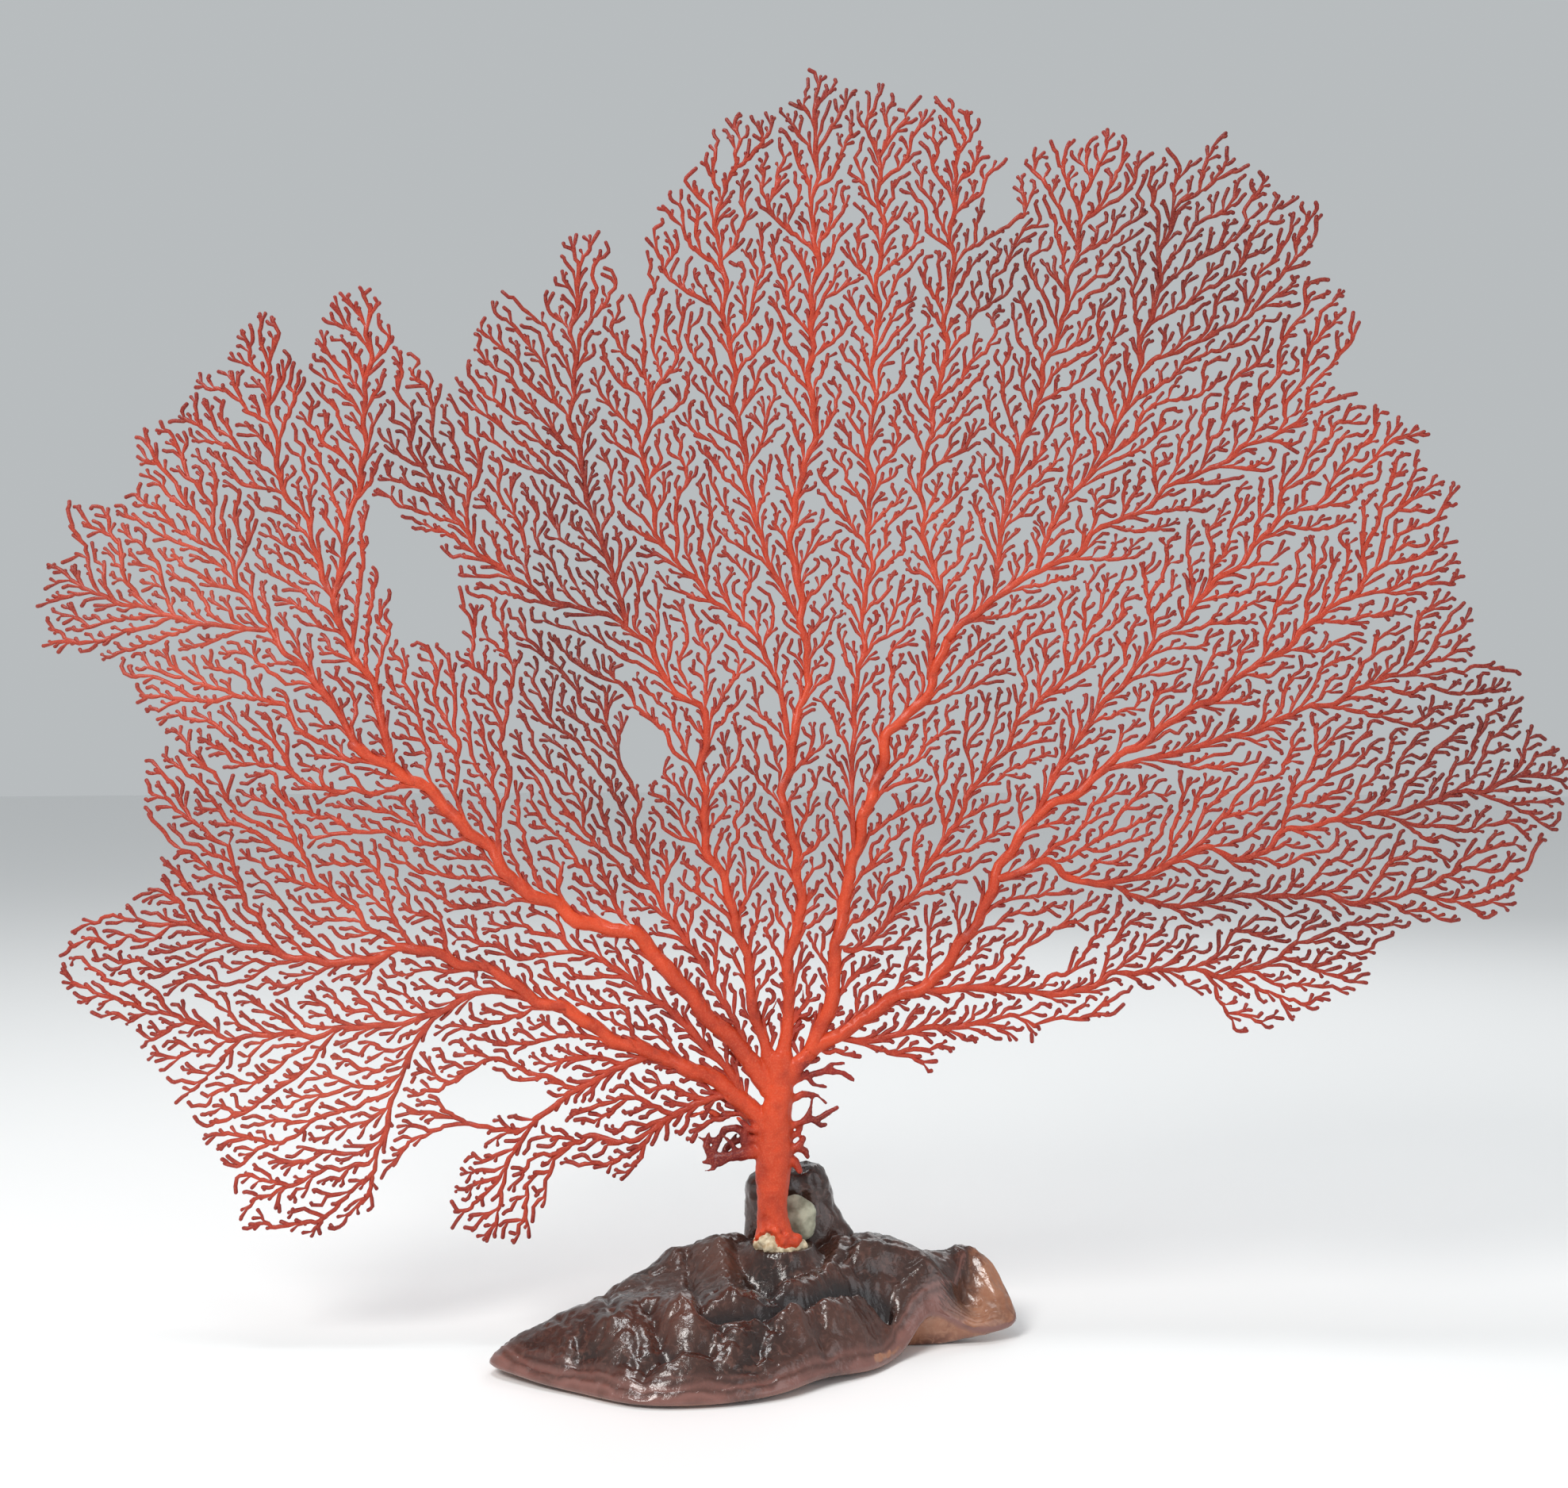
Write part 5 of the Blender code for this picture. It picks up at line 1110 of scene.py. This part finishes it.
def rim_table(count):
    """The distance from the base's middle to its rim, at even turns."""
    fine = []
    total = len(BASE_RIM)
    for i in range(total):
        spans = [BASE_RIM[(i + k) % total] for k in (-1, 0, 1, 2)]
        fine += [curve_point(spans, k / RIM_STEPS) for k in range(RIM_STEPS)]
    turns = np.array([math.atan2(y - BASE_MIDDLE[1], x - BASE_MIDDLE[0]) for x, y in fine])
    away = np.array([math.dist((x, y), BASE_MIDDLE) for x, y in fine])
    order = np.argsort(turns)
    steps = np.linspace(-math.pi, math.pi, count, endpoint=False)
    return steps, np.interp(steps, turns[order], away[order], period=2 * math.pi)


def rim_height(x, y):
    return RIM_FLOOR + sum(
        height * math.exp(-((x - cx) ** 2 + (y - cy) ** 2) / reach ** 2)
        for cx, cy, height, reach in RIM_LIFTS)


def dome_height(x, y, share):
    """Height of the base's top without its small features, share of the way from its middle to its rim."""
    power, root = BASE_DOME
    height = rim_height(x, y) + RIM_THICKNESS + BASE_BODY_HEIGHT * (1 - min(share, 1.0) ** power) ** root
    for cx, cy, swell, along, across, turn in BASE_LUMPS:
        c, s = math.cos(math.radians(turn)), math.sin(math.radians(turn))
        u, v = (x - cx) * c + (y - cy) * s, -(x - cx) * s + (y - cy) * c
        height += swell * (1 - share ** SWELL_FADE) * math.exp(-(u / along) ** 2 - (v / across) ** 2)
    return height


def seen_place(across, up, turns, away):
    """Where the camera's ray through a spot of the picture meets the base's top, in plan."""
    cx, cy, cz = CAMERA_PLACE
    y = RAY_FROM
    while y < RAY_TO:
        reach = (y - cy) / -cy
        x, z = cx + (across - cx) * reach, cz + (up - cz) * reach
        rim = np.interp(math.atan2(y - BASE_MIDDLE[1], x - BASE_MIDDLE[0]), turns, away, period=2 * math.pi)
        share = math.dist((x, y), BASE_MIDDLE) / rim
        if share < 1 and z <= dome_height(x, y, share):
            return x, y
        y += RAY_STEP
    return x, y


def feature_lines(turns, away):
    """Each feature's height, half width and line in plan."""
    lines = [
        (height, width, [seen_place(across, up, turns, away) for across, up in points])
        for height, width, points in BASE_FEATURES]
    return lines, [seen_place(across, up, turns, away) for across, up in WING_STEP[3]]


def line_gap(x, y, points):
    """The distance from a spot to a line."""
    best = math.inf
    for (ax, ay), (bx, by) in zip(points, points[1:]):
        dx, dy = bx - ax, by - ay
        t = ((x - ax) * dx + (y - ay) * dy) / max(dx * dx + dy * dy, TINY)
        t = min(max(t, 0.0), 1.0)
        best = min(best, math.dist((x, y), (ax + dx * t, ay + dy * t)))
    return best


def wing_share(x, y, edge):
    """How far a spot is from the near plate's edge (minus is beyond it), and its share of the wing's drop."""
    drop, softness, fading, line = WING_STEP
    gap, segment = min(
        (line_gap(x, y, pair), i) for i, pair in enumerate(zip(edge, edge[1:])))
    (ax, ay), (bx, by) = edge[segment], edge[segment + 1]
    if (bx - ax) * (y - ay) - (by - ay) * (x - ax) > 0:
        return gap, 0.0
    return -gap, min(gap / softness, 1.0) * max(1 - gap / fading, 0.0)


def top_height(x, y, share, lines, edge):
    """Height of the base's top at a spot, its relief over the ground around it, and how tan and how banded
    it is there."""
    height = dome_height(x, y, share)
    from_edge, wing = wing_share(x, y, edge) if x > WING_FROM else (EDGE_BAND, 0.0)
    band = max(1 - from_edge / EDGE_BAND, 0.0) if from_edge > 0 else 0.0
    height -= WING_STEP[0] * wing * (1 - share ** SWELL_FADE)
    fold_height, fold_size, sharpness = WING_FOLDS
    fold = 1 - abs(noise.noise(Vector((x * 0.6, y, 14.0)) / fold_size))
    relief = fold_height * (fold ** sharpness - 0.5) * min(2 * wing, 1.0)
    for swell, width, points in lines:
        gap = line_gap(x, y, points)
        if gap < 3 * width:
            relief += swell * math.exp(-(gap / width) ** 2) * (1 - share ** FEATURE_FADE)
    place = Vector((x, y, 2.0))
    crease = 1 - abs(noise.noise(place / CREASE_SIZE))
    crease -= FINE_CREASE * abs(noise.noise(place / (FINE_CREASE_SIZE * CREASE_SIZE)))
    relief -= CREASE_DEPTH * max(crease, 0.0) ** CREASE_SHARPNESS * (1 - share ** FEATURE_FADE)
    relief += sum(rise * noise.noise(Vector((x, y, 5.0)) / size) for rise, size in WRINKLES)
    if share > RIM_RING_SHARE:
        ringing = (share - RIM_RING_SHARE) / (1 - RIM_RING_SHARE)
        from_middle = math.dist((x, y), BASE_MIDDLE) * (1 / share - 1)
        relief += RIM_RINGS * ringing * math.sin(2 * math.pi * from_middle / RIM_RING_PITCH)
    height += relief
    away = math.dist((x, y), BASE_MIDDLE)
    flat = min(max((FOOT_SEAT + SEAT_EDGE - away) / SEAT_EDGE, 0.0), 1.0)
    tan = min(max(-from_edge, 0.0) / TAN_REACH, 1.0) * min(max((TAN_TOP - height) / TAN_FADE, 0.0), 1.0)
    return height + (FOOT_HEIGHT - height) * flat, relief * (1 - flat), tan, band


def base_sheet(turns, away):
    """The base without its stalk. Each point holds how far it is towards the rim, its relief, and how much
    it looks like the tan underside."""
    shape = bmesh.new()
    rimward = shape.verts.layers.float.new("rimward")
    relief = shape.verts.layers.float.new("relief")
    under = shape.verts.layers.float.new("under")
    lines, edge = feature_lines(turns, away)
    cx, cy = BASE_MIDDLE

    def point(x, y, z, share, rise, below):
        vert = shape.verts.new(Vector((x, y, z)) * MM)
        vert[rimward], vert[relief], vert[under] = share, rise, below
        return vert

    rings = []
    for i in range(1, BASE_RINGS + 1):
        share = (i / BASE_RINGS) ** RING_CROWDING
        ring = []
        for turn, reach in zip(turns, away):
            x, y = cx + reach * share * math.cos(turn), cy + reach * share * math.sin(turn)
            height, rise, tan, band = top_height(x, y, share, lines, edge)
            ring.append(point(x, y, height, share + (1 - share) * band ** 0.5, rise, tan))
        rings.append(ring)
    rim = [(cx + reach * math.cos(turn), cy + reach * math.sin(turn)) for turn, reach in zip(turns, away)]
    for share, lift, below in RIM_ROWS:
        rings.append([
            point(cx + (x - cx) * share, cy + (y - cy) * share,
                  rim_height(x, y) + RIM_THICKNESS * lift, 1.0, 0.3, below)
            for x, y in rim])
    for k in range(1, UNDER_RINGS + 1):
        part = k / UNDER_RINGS
        ring = []
        for x, y in rim:
            rise = rim_height(x, y)
            share = UNDER_START - (UNDER_START - FOOT_SHARE + UNDERCUT * (rise - RIM_FLOOR)) * part
            px, py = cx + (x - cx) * share, cy + (y - cy) * share
            ripple = UNDER_RIPPLE * noise.noise(Vector((px, py, 9.0)) / UNDER_RIPPLE_SIZE)
            ripple *= min(1.0, rise / UNDER_RIPPLE_LIFT)
            height = max(rise * (1 - part) ** UNDER_POWER + (ripple if k < UNDER_RINGS else 0.0), 0.0)
            ring.append(point(px, py, height, 1.0, ripple, 1.0))
        rings.append(ring)
    middle = point(cx, cy, FOOT_HEIGHT, 0.0, 0.0, 0.0)
    for k in range(BASE_SIDES):
        shape.faces.new((middle, rings[0][k - 1], rings[0][k]))
        for inner, outer in zip(rings, rings[1:]):
            shape.faces.new((inner[k - 1], outer[k - 1], outer[k], inner[k]))
    shape.faces.new(rings[-1])
    return shape


def plain_mesh(name, shape):
    bmesh.ops.recalc_face_normals(shape, faces=shape.faces)
    mesh = bpy.data.meshes.new(name)
    shape.to_mesh(mesh)
    shape.free()
    return mesh


def make_base(lacquer):
    turns, away = rim_table(BASE_SIDES)
    base = link("base_lacquered", plain_mesh("base_lacquered", base_sheet(turns, away)), lacquer)
    shape = bmesh.new()
    level_tube(shape, smooth_levels(STALK_LEVELS, STALK_PITCH), STALK_SIDES)
    stalk = link("stalk_cutter", plain_mesh("stalk_cutter", shape), lacquer)
    displace(stalk, STALK_DENTS + WRINKLES, seed=1.0)
    union = base.modifiers.new("stalk", "BOOLEAN")
    union.operation = "UNION"
    union.object = stalk
    apply_modifiers(base)
    bpy.data.objects.remove(stalk)
    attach(base, "root")
    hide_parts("base")


def make_stone(pale):
    shape = bmesh.new()
    bmesh.ops.create_icosphere(shape, subdivisions=5, radius=1.0)
    for vert in shape.verts:
        vert.co = Vector([(c + s * v) * MM for c, s, v in zip(STONE_CENTRE, STONE_SIZE, vert.co)])
    mesh = bpy.data.meshes.new("stone_pale")
    shape.to_mesh(mesh)
    shape.free()
    mesh.shade_smooth()
    stone = link("stone_pale", mesh, pale)
    displace(stone, STONE_GRAIN, seed=6.0)
    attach(stone, "root")
    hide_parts("holdfast_stone")


def new_material(name):
    material = bpy.data.materials.new(name)
    material.use_nodes = True
    nodes, links = material.node_tree.nodes, material.node_tree.links
    return material, nodes, links, nodes["Principled BSDF"]


def attribute_node(nodes, name):
    found = nodes.new("ShaderNodeAttribute")
    found.attribute_name = name
    return found.outputs["Fac"]


def mapped(nodes, links, value, low, high, to_low=0.0, to_high=1.0):
    """The value carried from one range to another and kept inside it."""
    node = nodes.new("ShaderNodeMapRange")
    node.inputs["From Min"].default_value = low
    node.inputs["From Max"].default_value = high
    node.inputs["To Min"].default_value = to_low
    node.inputs["To Max"].default_value = to_high
    links.new(value, node.inputs["Value"])
    return node.outputs["Result"]


def combined(nodes, links, operation, first, second):
    """Two values, or a value and a number, put through one sum."""
    node = nodes.new("ShaderNodeMath")
    node.operation = operation
    for value, socket in ((first, node.inputs[0]), (second, node.inputs[1])):
        if isinstance(value, (int, float)):
            socket.default_value = value
        else:
            links.new(value, socket)
    return node.outputs["Value"]


def mixed(nodes, links, amount, first, second, blend="MIX"):
    """Two colours mixed by an amount, each given as a socket or a plain colour."""
    node = nodes.new("ShaderNodeMix")
    node.data_type = "RGBA"
    node.blend_type = blend
    if isinstance(amount, (int, float)):
        node.inputs["Factor"].default_value = amount
    else:
        links.new(amount, node.inputs["Factor"])
    for value, socket in ((first, node.inputs["A"]), (second, node.inputs["B"])):
        if isinstance(value, tuple):
            socket.default_value = value
        else:
            links.new(value, socket)
    return node.outputs["Result"]


def noise_node(nodes, links, place, scale, detail, distortion=0.0):
    node = nodes.new("ShaderNodeTexNoise")
    node.inputs["Scale"].default_value = scale
    node.inputs["Detail"].default_value = detail
    node.inputs["Distortion"].default_value = distortion
    links.new(place, node.inputs["Vector"])
    return node.outputs["Fac"]


def coated(nodes, links, colour, coats):
    """A colour under coats, each with what drives it, that value's range, its share, colour and blend."""
    for value, low, high, most, coat, blend in coats:
        colour = mixed(nodes, links, mapped(nodes, links, value, low, high, 0.0, most), colour, coat, blend)
    return colour


def roughen(nodes, links, shader, height, strength, distance):
    """Bump on the shader, distance in m. Gives the bumped normal."""
    bump = nodes.new("ShaderNodeBump")
    bump.inputs["Strength"].default_value = strength
    bump.inputs["Distance"].default_value = distance
    links.new(height, bump.inputs["Height"])
    links.new(bump.outputs["Normal"], shader.inputs["Normal"])
    return bump.outputs["Normal"]


def coral_material():
    """Granular rind: orange-red limbs, redder twigs, darker ends, painted shade on lobes facing away, painted
    light on others.
    """
    material, nodes, links, shader = new_material("coral_rind")
    place = nodes.new("ShaderNodeTexCoord").outputs["Object"]
    tone = attribute_node(nodes, "tipward")
    painted_shade = attribute_node(nodes, "painted_shade")
    grains = noise_node(nodes, links, place, 2200, 4)
    patches = noise_node(nodes, links, place, 22, 3)
    streaks = noise_node(nodes, links, place, 160, 2)
    colour = coated(nodes, links, (0.64, 0.062, 0.015, 1), [
        (tone, 0.0, 0.5, 1.0, (0.43, 0.035, 0.015, 1), "MIX"),
        (tone, 0.5, 1.0, 1.0, (0.24, 0.014, 0.012, 1), "MIX"),
        # painted light pales some lobes (minus) and painted shade darkens the lobes facing away (plus)
        (painted_shade, 0.0, -1.0, 0.55, (0.55, 0.105, 0.062, 1), "MIX"),
        (painted_shade, 0.0, 1.0, 0.8, (0.42, 0.28, 0.45, 1), "MULTIPLY"),
        (patches, 0.42, 0.68, 0.8, (0.66, 0.52, 0.62, 1), "MULTIPLY"),
        (streaks, 0.50, 0.72, 0.7, (0.60, 0.42, 0.50, 1), "MULTIPLY"),
        (grains, 0.46, 0.76, 0.30, (0.75, 0.20, 0.10, 1), "MIX")])
    links.new(colour, shader.inputs["Base Color"])
    links.new(mapped(nodes, links, grains, 0.3, 0.7, 0.44, 0.66), shader.inputs["Roughness"])
    shader.inputs["Specular IOR Level"].default_value = 0.28
    shader.inputs["Coat Weight"].default_value = 0.16
    shader.inputs["Coat Roughness"].default_value = 0.18
    roughen(nodes, links, shader, grains, 0.56, 0.00025)
    return material


def lacquer_material():
    """Dark brown crust under old lacquer: fine wrinkles, painted shade in hollows, rim growth bands, thin tan
    wing.
    """
    material, nodes, links, shader = new_material("lacquered_crust")
    place = nodes.new("ShaderNodeTexCoord").outputs["Object"]
    clouds = noise_node(nodes, links, place, 55, 6, 0.6)
    wrinkles = noise_node(nodes, links, place, 420, 7, 1.2)
    pebbles = noise_node(nodes, links, place, 1150, 3, 0.4)
    relief = attribute_node(nodes, "relief")
    rimward = attribute_node(nodes, "rimward")
    under = attribute_node(nodes, "under")
    colour = coated(nodes, links, (0.022, 0.008, 0.005, 1), [
        (clouds, 0.35, 0.70, 1.0, (0.070, 0.023, 0.014, 1), "MIX"),
        (relief, 0.2, 4.0, 0.5, (0.12, 0.052, 0.036, 1), "MIX"),
        (wrinkles, 0.50, 0.72, 0.7, (0.13, 0.055, 0.040, 1), "MIX"),
        # painted shade: the deep hollows, grooves and creases of the relief go near black
        (relief, -0.9, -3.8, 0.92, (0.008, 0.003, 0.003, 1), "MIX")])
    warped = combined(nodes, links, "ADD", rimward, combined(nodes, links, "MULTIPLY", clouds, 0.08))
    bands = combined(nodes, links, "SINE", combined(nodes, links, "MULTIPLY", warped, 170.0), 0.0)
    edge = combined(
        nodes, links, "MULTIPLY", mapped(nodes, links, rimward, 0.92, 0.99),
        mapped(nodes, links, bands, -1.0, 1.0, 0.25, 0.9))
    colour = mixed(nodes, links, edge, colour, (0.22, 0.095, 0.078, 1))
    tan = coated(nodes, links, (0.10, 0.026, 0.014, 1), [
        (clouds, 0.40, 0.62, 1.0, (0.36, 0.155, 0.085, 1), "MIX"),
        (wrinkles, 0.45, 0.66, 0.6, (0.42, 0.21, 0.125, 1), "MIX")])
    colour = mixed(nodes, links, combined(nodes, links, "MULTIPLY", under, 0.9), colour, tan)
    links.new(colour, shader.inputs["Base Color"])
    links.new(mapped(nodes, links, clouds, 0.3, 0.7, 0.30, 0.48), shader.inputs["Roughness"])
    shader.inputs["Specular IOR Level"].default_value = 0.15
    shader.inputs["Coat Weight"].default_value = 1.0
    shader.inputs["Coat Roughness"].default_value = 0.12
    rough = combined(nodes, links, "ADD", wrinkles, combined(nodes, links, "MULTIPLY", pebbles, 0.45))
    links.new(roughen(nodes, links, shader, rough, 0.38, 0.0004), shader.inputs["Coat Normal"])
    return material


def pale_material(name, dark, light, size):
    """Matt chalky matter, mottled between two colours."""
    material, nodes, links, shader = new_material(name)
    place = nodes.new("ShaderNodeTexCoord")
    mottle = nodes.new("ShaderNodeTexNoise")
    mottle.inputs["Scale"].default_value = 1 / (size * MM)
    mottle.inputs["Detail"].default_value = 5
    links.new(place.outputs["Object"], mottle.inputs["Vector"])
    ramp = nodes.new("ShaderNodeValToRGB")
    ramp.color_ramp.elements[0].position = 0.36
    ramp.color_ramp.elements[0].color = dark
    ramp.color_ramp.elements[1].position = 0.66
    ramp.color_ramp.elements[1].color = light
    links.new(mottle.outputs["Fac"], ramp.inputs["Fac"])
    links.new(ramp.outputs["Color"], shader.inputs["Base Color"])
    shader.inputs["Roughness"].default_value = 0.75
    roughen(nodes, links, shader, mottle.outputs["Fac"], 0.5, 0.0004)
    return material


def make_floor():
    floor_mesh = bpy.data.meshes.new("floor")
    shape = bmesh.new()
    bmesh.ops.create_circle(shape, cap_ends=True, segments=64, radius=FLOOR_RADIUS)
    shape.to_mesh(floor_mesh)
    shape.free()
    material, _, _, shader = new_material("floor_paper")
    shader.inputs["Base Color"].default_value = FLOOR_COLOUR
    shader.inputs["Roughness"].default_value = 0.9
    floor = link("floor", floor_mesh, material)
    floor.location.z = -FLOOR_DROP


def make_light(name, place, target, size, power, colour):
    light = bpy.data.lights.new(name, "AREA")
    light.shape = "DISK"
    light.size = size
    light.energy = power
    light.color = colour
    thing = bpy.data.objects.new(name, light)
    bpy.context.scene.collection.objects.link(thing)
    thing.location = place
    thing.rotation_mode = "QUATERNION"
    thing.rotation_quaternion = (Vector(target) - Vector(place)).to_track_quat("-Z", "Y")


def make_lights():
    for light in LIGHTS:
        make_light(*light)
    world = bpy.data.worlds.new("studio")
    world.use_nodes = True
    world.node_tree.nodes["Background"].inputs["Color"].default_value = WORLD_COLOUR
    world.node_tree.nodes["Background"].inputs["Strength"].default_value = WORLD_STRENGTH
    bpy.context.scene.world = world
    bpy.context.scene.view_settings.view_transform = "Standard"


def make_camera():
    data = bpy.data.cameras.new("camera")
    data.sensor_width = CAMERA_SENSOR
    data.lens = CAMERA_LENS
    data.clip_start = 0.01
    camera = bpy.data.objects.new("camera", data)
    bpy.context.scene.collection.objects.link(camera)
    camera.location = [part * MM for part in CAMERA_PLACE]
    camera.rotation_euler = (math.pi / 2, 0, 0)
    bpy.context.scene.camera = camera


def main():
    coral = coral_material()
    fan = grow_fan()
    drop_stubs(fan)
    make_limbs(fan, coral)
    make_trunk(fan, coral, pale_material("bare_core", (0.42, 0.30, 0.17, 1), (0.80, 0.70, 0.50, 1), 1.6))
    make_base(lacquer_material())
    make_stone(pale_material("grey_stone", (0.22, 0.21, 0.15, 1), (0.50, 0.50, 0.38, 1), 3.5))
    make_floor()
    make_lights()
    make_camera()


main()
